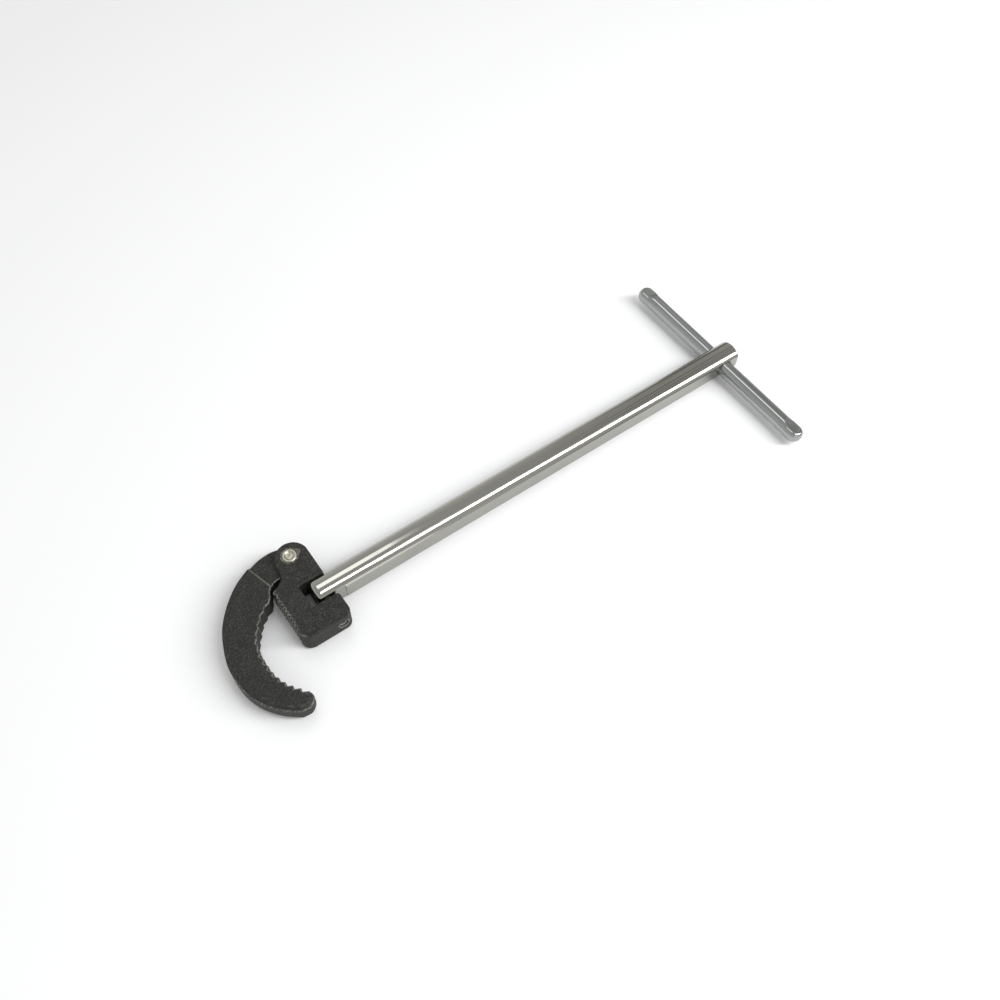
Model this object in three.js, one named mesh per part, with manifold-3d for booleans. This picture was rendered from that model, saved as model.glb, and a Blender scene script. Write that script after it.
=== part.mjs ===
// Adjustable basin wrench: a forked head with a sprung hook jaw, tilting on a cross pin at the tip of
// a flattened round shaft, with a sliding tommy bar through the shaft's handle end.
// Millimetres, +Z up. The wrench lies flat: X runs along the shaft from head to handle, and the
// head's jaws open towards -X. The exported group's origin is the bottom centre of its box.
import * as THREE from "three";
import { mergeVertices } from "three/addons/utils/BufferGeometryUtils.js";
import Module from "manifold-3d";

const wasm = await Module();
wasm.setup();

// ---- Shaft: a round bar with two side flats, milled narrower at the tip ----
const SHAFT_RADIUS = 6.7;
const SHAFT_WIDTH = 11; // across the side flats
const SHAFT_REACH = 232; // pivot pin to handle end
const NECK_WIDTH = 9.6; // across the deeper flats that enter the head
const NECK_CLEARANCE = 1.2; // neck left clear beyond the tilting heel's corners
const TIP_REACH = 4.2; // pivot pin to the nose
const NOSE_RADIUS = 2.4; // turned rounding of the nose
const END_CHAMFER = 0.6; // turned chamfer at the handle end
const SHAFT_SIDES = 64;

// ---- Tommy bar ----
const BAR_RADIUS = 4;
const BAR_LENGTH = 115;
const BAR_FROM_END = 8.4; // bar axis to the shaft's handle end
const BAR_CLEARANCE = 0.1; // radial, in the shaft's cross hole
const SWAGE_LENGTH = 11; // each flattened end
const SWAGE_SPREAD = 1.14; // width of a flattened end over the bar's own
const SWAGE_HALF_THICKNESS = 3.2;
const SWAGE_RAMP = 4; // length over which the round bar turns flat
const BAR_END_RADIUS = 3.4;

// ---- Head pivot: a slotted spring pin across the head ----
const PIN_RADIUS = 2;
const PIN_WALL = 0.7;
const PIN_SLOT_ANGLE = 0.5; // radians left open in the rolled wall
const PIN_RUNNING_GAP = 0.1; // radial, in the shaft
const PIN_SEAT_GAP = 0.03; // radial, in the heel
const PIN_SUNK = 0.8; // below the heel's near wall
const PIN_END_WALL = 1.6; // heel metal left beyond the pin's blind end

// ---- Heel: the fixed jaw and forked block ----
const HEEL_THICKNESS = 11.2;
const HEEL_BACK = 4.2; // pivot pin to the knuckle's face towards the handle
const NEAR_BACK = 4.7; // the same, for the near ear
const HEEL_FACE = 17.8; // pivot pin to the crests of the toothed face
const HEEL_NEAR = 17.5; // pivot pin axis to the near wall
const HEEL_FACE_TOP = 8.4; // where the toothed face ends and the slope to the knuckle starts
const HEEL_EDGE = 0.5; // bevel round both broad faces
const FACE_BEVEL = 0.3; // wider bevel along both edges of the toothed face
const NEAR_BACK_ROUND = 3.4; // corner radius, near wall to back face
const NEAR_FACE_ROUND = 4.6; // corner radius, near wall to toothed face
const EAR_ROUND = 1.6; // corner radius, back face to the slot on the near side
const SLOT_FAR_CLEARANCE = 0.35; // between the neck and the slot's wall on the knuckle side
const SLOT_NEAR_CLEARANCE = 1.35;
const TILT_GAP = 0.5; // between the swinging nose and the slot's floor
const HEEL_TOOTH_PITCH = 1.85;
const HEEL_TOOTH_DEPTH = 0.95;
const HEEL_TOOTH_MARGIN = 0.8; // from the end of the toothed face to its first crest

// ---- Knuckle and jaw rivet ----
const RIVET_X = -3.6;
const RIVET_Y = 19.8;
const RIVET_RADIUS = 2.2;
const RIVET_HEAD_RADIUS = 3.2;
const RIVET_HEAD_HEIGHT = 1.1;
const RIVET_HEAD_PROUD = 0.35; // upper head above the heel; the lower one is sunk flush
const RIVET_DISH_RADIUS = 2.1;
const RIVET_DISH_DEPTH = 0.35;
const RIVET_GAP = 0.06; // radial, in heel and hook
const KNUCKLE_RADIUS = 7.2;
const KNUCKLE_SHIFT = 0.9; // knuckle arc's centre below the rivet
const KNUCKLE_WAIST = 7.8; // rivet to the hollow edge between knuckle and toothed face
const FORK_FLOOR_GAP = 0.35; // fork floor below the hook's round tongue end
const SEAT_GAP = 0.3; // faces that lie against each other

// ---- Hook jaw ----
const HOOK_THICKNESS = 9;
const TONGUE_THICKNESS = 6.4;
const TONGUE_END_RADIUS = 6.2;
const TONGUE_TURN_START = -0.55 * Math.PI; // where the round end leaves the throat, about the rivet
const TONGUE_TURN_STOP = 0.5 * Math.PI; // where it meets the back
const TONGUE_CLEARANCE = 3.9; // thinned zone beyond the ears, so that the hook can swing
const SHOULDER_TURN = 0.3; // radians between the thinned zone's straight shoulder and Y
const THROAT_GAP = 1.1; // toothed face to the start of the hook's crest line
const MOUTH_DEPTH = 15.3; // from there to the hollow of the crest line
const HOOK_DROP = 44; // from the throat to the last crest at the hook's tip
const HOOK_ARM = 13.1; // width of the arm at the hollow
const HOOK_EDGE = 0.6; // bevel round the hook's broad faces
const HOOK_TOOTH_PITCH = 3.3;
const HOOK_TOOTH_DEPTH = 1.3;
const HOOK_TOOTH_COUNT = 8;
const UPPER_TOOTH_COUNT = 6;
const UPPER_TOOTH_DEPTH = 0.75;
const UPPER_TOOTH_START = 0.06; // share of the crest line above the first tooth
// The hook's lines as shares: across the mouth (crests) or mouth and arm (back), and of the drop.
const CREST_SHAPE = [
  [0, 0],
  [0.111, 0.052],
  [0.291, 0.091],
  [0.49, 0.14],
  [0.637, 0.201],
  [0.788, 0.268],
  [0.905, 0.332],
  [0.98, 0.409],
  [1, 0.555],
  [0.967, 0.709],
  [0.81, 0.852],
  [0.484, 1.009],
];
const BACK_SHAPE = [
  [-0.331, -0.427],
  [-0.144, -0.416],
  [0, -0.389],
  [0.144, -0.35],
  [0.352, -0.273],
  [0.585, -0.141],
  [0.783, 0.02],
  [0.901, 0.177],
  [1.002, 0.395],
  [1.002, 0.643],
  [0.905, 0.843],
  [0.725, 1.007],
  [0.5, 1.132],
];
const TIP_SHAPE = [
  [0.366, 1.141],
  [0.285, 1.111],
  [0.236, 1.061],
];

// ---- Jaw spring, in a pocket of the tongue ----
const WIRE_RADIUS = 0.45;
const COIL_RADIUS = 3.45;
const COIL_TURNS = 3;
const COIL_PITCH = 1.05;
const SPRING_GAP = 0.25; // round the coil in its pocket
const SPRING_LEG = 3;

const LONG = 400; // longer than any piece, for cutting tools
const HALF_HEEL = HEEL_THICKNESS / 2;
const HALF_HOOK = HOOK_THICKNESS / 2;
const HALF_TONGUE = TONGUE_THICKNESS / 2;
const RIVET = new THREE.Vector2(RIVET_X, RIVET_Y);

// A closed geometry as a manifold solid.
function solid(geometry) {
  const bare = geometry.index ? geometry.clone() : geometry;
  bare.deleteAttribute("normal");
  bare.deleteAttribute("uv");
  const merged = mergeVertices(bare, 1e-4);
  const mesh = new wasm.Mesh({
    numProp: 3,
    vertProperties: merged.attributes.position.array,
    triVerts: new Uint32Array(merged.index.array),
  });
  return new wasm.Manifold(mesh);
}

// A manifold solid as a three.js geometry.
function geometryOf(body) {
  const mesh = body.getMesh();
  const geometry = new THREE.BufferGeometry();
  geometry.setAttribute("position", new THREE.BufferAttribute(mesh.vertProperties, 3));
  geometry.setIndex(new THREE.BufferAttribute(mesh.triVerts, 1));
  geometry.computeVertexNormals();
  return geometry;
}

// A box given by its low and high corners.
function block(x0, x1, y0, y1, z0, z1) {
  const box = new THREE.BoxGeometry(x1 - x0, y1 - y0, z1 - z0);
  box.translate((x0 + x1) / 2, (y0 + y1) / 2, (z0 + z1) / 2);
  return solid(box);
}

// A round bar between z0 and z1.
function roundZ(radius, z0, z1, x, y, sides = 40) {
  const bar = new THREE.CylinderGeometry(radius, radius, z1 - z0, sides);
  bar.rotateX(Math.PI / 2);
  bar.translate(x, y, (z0 + z1) / 2);
  return solid(bar);
}

// A round bar between y0 and y1.
function roundY(radius, y0, y1, x, z, sides = 40) {
  const bar = new THREE.CylinderGeometry(radius, radius, y1 - y0, sides);
  bar.translate(x, (y0 + y1) / 2, z);
  return solid(bar);
}

// An outline of the XY plane as a plate between -half and +half, with its edges bevelled.
function plate(outline, half, bevel = 0) {
  const shape = new THREE.Shape(outline);
  const geometry = new THREE.ExtrudeGeometry(shape, {
    depth: 2 * (half - bevel),
    bevelEnabled: bevel > 0,
    bevelThickness: bevel,
    bevelSize: bevel,
    bevelOffset: -bevel,
    bevelSegments: 2,
    curveSegments: 1,
  });
  geometry.translate(0, 0, bevel - half);
  return solid(geometry);
}

// Points of an arc from one angle to another, both ends included.
function arc(cx, cy, radius, from, to, steps) {
  const points = [];
  for (let i = 0; i <= steps; i++) {
    const angle = from + ((to - from) * i) / steps;
    points.push(new THREE.Vector2(cx + radius * Math.cos(angle), cy + radius * Math.sin(angle)));
  }
  return points;
}

// Points of a smooth curve through the ones given.
function smooth(points, steps) {
  return new THREE.SplineCurve(points).getSpacedPoints(steps);
}

// Triangular notches between the teeth of a face. Each lies between two crests, its root is
// `lean` of the way along and `depth` into the metal, and the tool reaches past the face.
function notches(crests, depth, lean, reach) {
  let cut = null;
  for (let i = 0; i + 1 < crests.length; i++) {
    const a = crests[i];
    const b = crests[i + 1];
    const along = b.clone().sub(a);
    const inward = new THREE.Vector2(along.y, -along.x).normalize();
    const root = a.clone().addScaledVector(along, lean).addScaledVector(inward, depth);
    const lipA = a.clone().addScaledVector(inward, -reach);
    const lipB = b.clone().addScaledVector(inward, -reach);
    const corners = [a, lipA, lipB, b, root];
    const prism = plate(THREE.ShapeUtils.isClockWise(corners) ? corners.reverse() : corners, HALF_HEEL * 2);
    cut = cut ? cut.add(prism) : prism;
  }
  return cut;
}

// ---- Shaft ----
function makeShaft() {
  const profile = [new THREE.Vector2(0, -TIP_REACH)];
  const noseX = NOSE_RADIUS - TIP_REACH;
  const nose = arc(SHAFT_RADIUS - NOSE_RADIUS, noseX, NOSE_RADIUS, -Math.PI / 2, 0, 6);
  profile.push(...nose);
  profile.push(new THREE.Vector2(SHAFT_RADIUS, SHAFT_REACH - END_CHAMFER));
  profile.push(new THREE.Vector2(SHAFT_RADIUS - END_CHAMFER, SHAFT_REACH));
  profile.push(new THREE.Vector2(0, SHAFT_REACH));
  const turned = new THREE.LatheGeometry(profile, SHAFT_SIDES);
  turned.rotateZ(-Math.PI / 2);
  let body = solid(turned);
  const half = SHAFT_WIDTH / 2;
  body = body.intersect(block(-LONG, LONG, -half, half, -LONG, LONG));
  const neck = NECK_WIDTH / 2;
  const neckEnd = Math.hypot(Math.max(HEEL_BACK, NEAR_BACK), HALF_HEEL) + NECK_CLEARANCE;
  body = body.subtract(block(-LONG, neckEnd, neck, LONG, -LONG, LONG));
  body = body.subtract(block(-LONG, neckEnd, -LONG, -neck, -LONG, LONG));
  body = body.subtract(roundY(PIN_RADIUS + PIN_RUNNING_GAP, -LONG, LONG, 0, 0));
  const barX = SHAFT_REACH - BAR_FROM_END;
  return body.subtract(roundY(BAR_RADIUS + BAR_CLEARANCE, -LONG, LONG, barX, 0));
}

// ---- Tommy bar: turned round, then pressed flat at both ends ----
function makeTommyBar() {
  const half = BAR_LENGTH / 2;
  const shoulder = BAR_RADIUS - BAR_END_RADIUS;
  const rings = [new THREE.Vector2(0, -half)];
  rings.push(...arc(shoulder, -half + BAR_END_RADIUS, BAR_END_RADIUS, -Math.PI / 2, 0, 8));
  const straight = half - BAR_END_RADIUS;
  const swageEnd = half - SWAGE_LENGTH;
  for (const y of [-swageEnd - SWAGE_RAMP, -swageEnd, swageEnd, swageEnd + SWAGE_RAMP]) {
    if (Math.abs(y) < straight) rings.push(new THREE.Vector2(BAR_RADIUS, y));
  }
  rings.push(...arc(shoulder, straight, BAR_END_RADIUS, 0, Math.PI / 2, 8));
  rings.push(new THREE.Vector2(0, half));
  const bar = new THREE.LatheGeometry(rings, 40);
  const at = bar.attributes.position;
  for (let i = 0; i < at.count; i++) {
    const pressed = THREE.MathUtils.smoothstep(Math.abs(at.getY(i)), swageEnd, swageEnd + SWAGE_RAMP);
    const limit = THREE.MathUtils.lerp(BAR_RADIUS, SWAGE_HALF_THICKNESS, pressed);
    at.setX(i, at.getX(i) * THREE.MathUtils.lerp(1, SWAGE_SPREAD, pressed));
    at.setZ(i, THREE.MathUtils.clamp(at.getZ(i), -limit, limit));
  }
  return solid(bar);
}

// ---- Head pivot pin ----
function pinSpan() {
  return { near: -HEEL_NEAR + PIN_SUNK, far: forkFloor() - PIN_END_WALL };
}

function makePivotPin() {
  const open = PIN_SLOT_ANGLE / 2;
  const outer = arc(0, 0, PIN_RADIUS, open, 2 * Math.PI - open, 30);
  const inner = arc(0, 0, PIN_RADIUS - PIN_WALL, 2 * Math.PI - open, open, 30);
  const { near, far } = pinSpan();
  const geometry = new THREE.ExtrudeGeometry(new THREE.Shape([...outer, ...inner]), {
    depth: far - near,
    bevelEnabled: false,
  });
  geometry.rotateX(-Math.PI / 2);
  geometry.translate(0, near, 0);
  return solid(geometry);
}

// ---- Heel ----
function forkFloor() {
  return RIVET_Y - TONGUE_END_RADIUS - FORK_FLOOR_GAP;
}

// The distance at which the turning nose clears the slot's floor.
function slotDepth() {
  return Math.hypot(SHAFT_RADIUS - NOSE_RADIUS, TIP_REACH - NOSE_RADIUS) + NOSE_RADIUS + TILT_GAP;
}

// The heel's plan, anticlockwise: near wall, back face, knuckle, waist, slope, toothed face.
function heelOutline() {
  const points = [];
  const faceX = -HEEL_FACE + NEAR_FACE_ROUND;
  const backX = NEAR_BACK - NEAR_BACK_ROUND;
  points.push(...arc(faceX, -HEEL_NEAR + NEAR_FACE_ROUND, NEAR_FACE_ROUND, Math.PI, 1.5 * Math.PI, 8));
  points.push(...arc(backX, -HEEL_NEAR + NEAR_BACK_ROUND, NEAR_BACK_ROUND, 1.5 * Math.PI, 2 * Math.PI, 8));
  points.push(new THREE.Vector2(NEAR_BACK, 0), new THREE.Vector2(HEEL_BACK, 0));
  const knuckleX = HEEL_BACK - KNUCKLE_RADIUS;
  const knuckleY = RIVET_Y - KNUCKLE_SHIFT;
  const turn = 0.8 * Math.PI;
  points.push(...arc(knuckleX, knuckleY, KNUCKLE_RADIUS, 0, turn, 16));
  const waistX = RIVET_X - KNUCKLE_WAIST;
  const waistY = forkFloor();
  const last = points[points.length - 1];
  const slope = [
    last,
    new THREE.Vector2((last.x + 2 * waistX) / 3, (2 * last.y + waistY) / 3),
    new THREE.Vector2(waistX, waistY),
    new THREE.Vector2((2 * waistX - HEEL_FACE) / 3, (waistY + HEEL_FACE_TOP) / 2),
    new THREE.Vector2(-HEEL_FACE, HEEL_FACE_TOP),
  ];
  points.push(...smooth(slope, 14).slice(1));
  return points;
}

// A bar with its long edge along Y that planes a 45 degree bevel off an edge of the toothed face.
function faceBevel(z) {
  const side = Math.SQRT2 * FACE_BEVEL;
  const length = HEEL_NEAR + HEEL_FACE_TOP;
  const bar = new THREE.BoxGeometry(side, length, side);
  bar.rotateY(Math.PI / 4);
  bar.translate(-HEEL_FACE, HEEL_FACE_TOP - length / 2, z);
  return solid(bar);
}

// The waste outside the rounded corner of the near ear, beside the slot.
function earCorner(slotY) {
  const x = NEAR_BACK - EAR_ROUND;
  const y = slotY - EAR_ROUND;
  const waste = block(x, LONG, y, slotY + EAR_ROUND, -HALF_HEEL - 1, HALF_HEEL + 1);
  return waste.subtract(roundZ(EAR_ROUND, -LONG, LONG, x, y, 24));
}

function makeHeel() {
  let body = plate(heelOutline(), HALF_HEEL, HEEL_EDGE);
  body = body.subtract(faceBevel(HALF_HEEL)).subtract(faceBevel(-HALF_HEEL));
  const nearSlot = -NECK_WIDTH / 2 - SLOT_NEAR_CLEARANCE;
  const farSlot = NECK_WIDTH / 2 + SLOT_FAR_CLEARANCE;
  body = body.subtract(block(-slotDepth(), LONG, nearSlot, farSlot, -LONG, LONG));
  body = body.subtract(earCorner(nearSlot));
  const fork = HALF_TONGUE + SEAT_GAP;
  body = body.subtract(block(-LONG, LONG, forkFloor(), LONG, -fork, fork));
  const { far } = pinSpan();
  body = body.subtract(roundY(PIN_RADIUS + PIN_SEAT_GAP, -LONG, far + SEAT_GAP, 0, 0));
  body = body.subtract(roundZ(RIVET_RADIUS + RIVET_GAP, -LONG, LONG, RIVET.x, RIVET.y));
  const sink = HALF_HEEL - RIVET_HEAD_HEIGHT;
  const sinkRadius = RIVET_HEAD_RADIUS + RIVET_GAP;
  const upper = sink + RIVET_HEAD_PROUD - RIVET_GAP;
  body = body.subtract(roundZ(sinkRadius, upper, LONG, RIVET.x, RIVET.y));
  body = body.subtract(roundZ(sinkRadius, -LONG, -sink + RIVET_GAP, RIVET.x, RIVET.y));
  const stud = WIRE_RADIUS + 2 * SPRING_GAP;
  body = body.subtract(roundZ(stud, 0, studEnd() + SPRING_GAP, RIVET.x + COIL_RADIUS, RIVET.y, 16));
  const crests = [];
  const lowest = -HEEL_NEAR + NEAR_FACE_ROUND - HEEL_TOOTH_PITCH;
  for (let y = HEEL_FACE_TOP - HEEL_TOOTH_MARGIN; y > lowest; y -= HEEL_TOOTH_PITCH) {
    crests.push(new THREE.Vector2(-HEEL_FACE, y));
  }
  return body.subtract(notches(crests.reverse(), HEEL_TOOTH_DEPTH, 0.5, 1));
}

// ---- Hook jaw ----
// A point of the hook from its two shares, `width` being what the first share is of.
function hookPoint([across, down], width) {
  return new THREE.Vector2(-HEEL_FACE - THROAT_GAP - across * width, HEEL_FACE_TOP - down * HOOK_DROP);
}

// The crest line of the hook's teeth, from the throat round to the hook's tip.
function hookCrests() {
  return smooth(CREST_SHAPE.map((shares) => hookPoint(shares, MOUTH_DEPTH)), 56);
}

// The hook's plan, anticlockwise from the tongue's round end: back, tip, crest line, throat.
function hookOutline() {
  const width = MOUTH_DEPTH + HOOK_ARM;
  const crests = hookCrests().reverse();
  const round = arc(RIVET.x, RIVET.y, TONGUE_END_RADIUS, TONGUE_TURN_START, TONGUE_TURN_STOP, 18);
  const backLine = BACK_SHAPE.map((shares) => hookPoint(shares, width));
  const back = smooth([round[round.length - 1], ...backLine], 48).slice(1);
  const tipLine = TIP_SHAPE.map((shares) => hookPoint(shares, width));
  const tip = smooth([back[back.length - 1], ...tipLine, crests[0]], 8).slice(1);
  const floor = forkFloor();
  const throat = smooth(
    [
      crests[crests.length - 1],
      new THREE.Vector2(-HEEL_FACE, floor - (floor - HEEL_FACE_TOP) / 2),
      new THREE.Vector2((RIVET.x - HEEL_FACE) / 2 - KNUCKLE_WAIST / 2, floor + SEAT_GAP),
      round[0].clone().setX((RIVET.x - HEEL_FACE) / 2),
    ],
    12,
  ).slice(1);
  return [...back, ...tip, ...crests.slice(1), ...throat, ...round];
}

// The waste between z0 and z1 on the rivet's side of the hook's straight shoulder. The shoulder
// stands off the rivet by the furthest point of the heel's ears and the clearance.
function shoulderWaste(z0, z1) {
  const ears = heelOutline().filter((point) => point.y > forkFloor());
  const reach = Math.max(...ears.map((point) => point.distanceTo(RIVET))) + TONGUE_CLEARANCE;
  const waste = new THREE.BoxGeometry(LONG, LONG, z1 - z0);
  waste.translate(LONG / 2 - reach, 0, (z0 + z1) / 2);
  waste.rotateZ(SHOULDER_TURN);
  waste.translate(RIVET.x, RIVET.y, 0);
  return solid(waste);
}

function makeHook() {
  let body = plate(hookOutline(), HALF_HOOK, HOOK_EDGE);
  const line = hookCrests();
  const path = new THREE.SplineCurve(line);
  const length = path.getLength();
  const lowerStart = 1 - (HOOK_TOOTH_COUNT * HOOK_TOOTH_PITCH) / length;
  const lower = [];
  for (let i = 0; i <= HOOK_TOOTH_COUNT; i++) {
    lower.push(path.getPointAt(Math.min(1, lowerStart + (i * HOOK_TOOTH_PITCH) / length)));
  }
  body = body.subtract(notches(lower, HOOK_TOOTH_DEPTH, 0.25, 2));
  const upper = [];
  for (let i = 0; i <= UPPER_TOOTH_COUNT; i++) {
    const share = UPPER_TOOTH_START + ((lowerStart - UPPER_TOOTH_START) * i) / UPPER_TOOTH_COUNT;
    upper.push(path.getPointAt(share));
  }
  body = body.subtract(notches(upper, UPPER_TOOTH_DEPTH, 0.75, 2));
  body = body.subtract(shoulderWaste(HALF_TONGUE, HOOK_THICKNESS));
  body = body.subtract(shoulderWaste(-HOOK_THICKNESS, -HALF_TONGUE));
  body = body.subtract(roundZ(RIVET_RADIUS + RIVET_GAP, -LONG, LONG, RIVET.x, RIVET.y));
  const pocket = COIL_RADIUS + WIRE_RADIUS + SPRING_GAP;
  const floor = springFloor();
  body = body.subtract(roundZ(pocket, floor, LONG, RIVET.x, RIVET.y));
  const groove = WIRE_RADIUS + SPRING_GAP;
  const legY = RIVET.y + COIL_RADIUS;
  const legEnd = RIVET.x - SPRING_LEG - 2 * SPRING_GAP;
  return body.subtract(block(legEnd, RIVET.x, legY - groove, legY + groove, floor, LONG));
}

// ---- Jaw rivet: a headed shank closed over at the top, with a dished upset ----
function makeRivet() {
  const bottom = -HALF_HEEL;
  const top = HALF_HEEL + RIVET_HEAD_PROUD;
  const lowNeck = bottom + RIVET_HEAD_HEIGHT;
  const highNeck = top - RIVET_HEAD_HEIGHT;
  const round = 0.35;
  const profile = [
    new THREE.Vector2(0, bottom),
    new THREE.Vector2(RIVET_HEAD_RADIUS - round, bottom),
    new THREE.Vector2(RIVET_HEAD_RADIUS, bottom + round),
    new THREE.Vector2(RIVET_HEAD_RADIUS, lowNeck),
    new THREE.Vector2(RIVET_RADIUS, lowNeck),
    new THREE.Vector2(RIVET_RADIUS, highNeck),
    new THREE.Vector2(RIVET_HEAD_RADIUS, highNeck),
    new THREE.Vector2(RIVET_HEAD_RADIUS, top - round),
    new THREE.Vector2(RIVET_HEAD_RADIUS - round, top),
    new THREE.Vector2(RIVET_DISH_RADIUS + round, top),
    new THREE.Vector2(RIVET_DISH_RADIUS, top - RIVET_DISH_DEPTH),
    new THREE.Vector2(0, top - RIVET_DISH_DEPTH),
  ];
  const turned = new THREE.LatheGeometry(profile, 40);
  turned.rotateX(Math.PI / 2);
  turned.translate(RIVET.x, RIVET.y, 0);
  return solid(turned);
}

// ---- Jaw spring: a torsion coil round the rivet ----
function springFloor() {
  return springTop() - COIL_TURNS * COIL_PITCH - WIRE_RADIUS - SPRING_GAP;
}

// Height of the wire's centre where the coil starts.
function springTop() {
  return HALF_TONGUE - WIRE_RADIUS - SPRING_GAP;
}

// Height of the upper leg's end, inside the ear and under the rivet's head.
function studEnd() {
  return HALF_HEEL + RIVET_HEAD_PROUD - RIVET_HEAD_HEIGHT - 2 * SPRING_GAP;
}

class SpringPath extends THREE.Curve {
  // The leg in the ear comes first, then the coil going down, then the leg in the tongue.
  getPoint(t, target = new THREE.Vector3()) {
    const top = springTop();
    const stud = studEnd() - top;
    const coil = 2 * Math.PI * COIL_RADIUS * (COIL_TURNS + 0.25);
    const at = t * (stud + coil + SPRING_LEG);
    if (at < stud) return target.set(COIL_RADIUS, 0, top + stud - at);
    const turn = Math.min(1, (at - stud) / coil);
    const angle = turn * (COIL_TURNS + 0.25) * 2 * Math.PI;
    const z = top - turn * COIL_TURNS * COIL_PITCH;
    const past = Math.max(0, at - stud - coil);
    return target.set(COIL_RADIUS * Math.cos(angle) - past, COIL_RADIUS * Math.sin(angle), z);
  }
}

function makeSpring() {
  const section = new THREE.Shape(arc(0, 0, WIRE_RADIUS, 0, 1.75 * Math.PI, 7));
  const geometry = new THREE.ExtrudeGeometry(section, { steps: 96, extrudePath: new SpringPath() });
  geometry.translate(RIVET.x, RIVET.y, 0);
  return solid(geometry);
}

// ---- Finishes and assembly ----
const blackOxide = { color: 0x32322e, roughness: 0.62, metalness: 0.55 };
const chrome = { color: 0xb9b9b2, roughness: 0.12, metalness: 1 };
const nickel = { color: 0xc8c3aa, roughness: 0.3, metalness: 1 };
const springSteel = { color: 0x8d8f92, roughness: 0.35, metalness: 1 };

function piece(name, body, finish) {
  const mesh = new THREE.Mesh(geometryOf(body), new THREE.MeshStandardMaterial(finish));
  mesh.name = name;
  return mesh;
}

const jaw = new THREE.Group();
jaw.add(piece("hook_jaw", makeHook(), blackOxide));

const head = new THREE.Group();
head.add(piece("heel_jaw", makeHeel(), blackOxide));
head.add(piece("jaw_rivet", makeRivet(), nickel));
head.add(piece("jaw_spring", makeSpring(), springSteel));
head.add(piece("head_pivot_pin", makePivotPin(), springSteel));
head.add(jaw);

const bar = piece("tommy_bar", makeTommyBar(), chrome);
bar.position.set(SHAFT_REACH - BAR_FROM_END, 0, 0);

const wrench = new THREE.Group();
wrench.add(piece("shaft", makeShaft(), chrome));
wrench.add(head);
wrench.add(bar);

const part = new THREE.Group();
part.add(wrench);
const box = new THREE.Box3().setFromObject(wrench);
const centre = box.getCenter(new THREE.Vector3());
wrench.position.set(-centre.x, -centre.y, -box.min.z);

export default part;
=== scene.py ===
"""Looks for the adjustable basin wrench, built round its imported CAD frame.

Every visible piece is a new numpy surface that stands for one CAD node. Lengths in this file are in
millimetres until a mesh is made. The head's own origin is the axis of its cross pin.
"""

import logging
import math
from dataclasses import dataclass, field
from enum import Enum

import bpy
import numpy as np
import numpy.typing as npt
from mathutils import Matrix, Vector


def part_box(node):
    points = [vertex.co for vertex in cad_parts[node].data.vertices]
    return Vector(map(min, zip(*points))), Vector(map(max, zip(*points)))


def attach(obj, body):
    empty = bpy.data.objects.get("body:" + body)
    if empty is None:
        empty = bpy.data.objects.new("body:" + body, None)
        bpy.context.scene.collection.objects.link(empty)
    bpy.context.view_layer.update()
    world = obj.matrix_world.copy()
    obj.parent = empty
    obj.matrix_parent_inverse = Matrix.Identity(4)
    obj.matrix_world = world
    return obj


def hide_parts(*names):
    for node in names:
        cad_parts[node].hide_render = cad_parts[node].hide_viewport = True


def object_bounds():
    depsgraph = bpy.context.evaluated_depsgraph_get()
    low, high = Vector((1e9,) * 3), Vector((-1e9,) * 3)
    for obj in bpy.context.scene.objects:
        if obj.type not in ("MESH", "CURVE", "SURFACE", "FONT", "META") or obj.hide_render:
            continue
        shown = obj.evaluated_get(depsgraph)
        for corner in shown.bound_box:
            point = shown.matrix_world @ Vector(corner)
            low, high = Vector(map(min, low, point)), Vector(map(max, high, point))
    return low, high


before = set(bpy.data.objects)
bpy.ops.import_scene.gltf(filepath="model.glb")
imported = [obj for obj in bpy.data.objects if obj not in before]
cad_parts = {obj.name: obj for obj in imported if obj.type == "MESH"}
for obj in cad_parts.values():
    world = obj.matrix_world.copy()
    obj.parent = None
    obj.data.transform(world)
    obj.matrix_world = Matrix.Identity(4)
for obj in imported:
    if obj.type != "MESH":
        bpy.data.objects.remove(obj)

Array = npt.NDArray[np.float64]

MM = 0.001
PIN_RADIUS = 2.0
LOG = logging.getLogger("basin_wrench")
CAD_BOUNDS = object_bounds()


class Body(Enum):
    """The rigid bodies of the wrench, by their names in the frame."""

    SHAFT = "shaft"
    HEAD = "head"
    JAW = "jaw"
    BAR = "bar"


class Axis(Enum):
    """The row axis that a turned or swept piece runs along, as column orders of (across, along, up)."""

    X = (1, 0, 2)
    Y = (0, 1, 2)
    Z = (0, 2, 1)


# ---------------------------------------------------------------- datums


@dataclass(frozen=True)
class Datums:
    """Places in the row frame that the pieces are built from, in millimetres.

    Attributes:
        pin: The cross pin's axis, at the middle of the head's thickness.
        bar: The middle of the tommy bar.
        end: The shaft's handle end, along X.
    """

    pin: Array
    bar: Array
    end: float

    @classmethod
    def from_frame(cls) -> "Datums":
        """Reads the places off the CAD nodes' boxes.

        Returns:
            The datums.
        """
        pin_low, pin_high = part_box("head_pivot_pin")
        bar_low, bar_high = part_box("tommy_bar")
        shaft_low, shaft_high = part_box("shaft")
        pin_x = pin_low.x / MM + PIN_RADIUS
        pin_z = (pin_low.z + pin_high.z) / 2 / MM
        middle_y = (shaft_low.y + shaft_high.y) / 2 / MM
        middle = (bar_low + bar_high) / 2 / MM
        return cls(np.array([pin_x, middle_y, pin_z]), np.array(middle), shaft_high.x / MM)


# ---------------------------------------------------------------- plane curves


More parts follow.
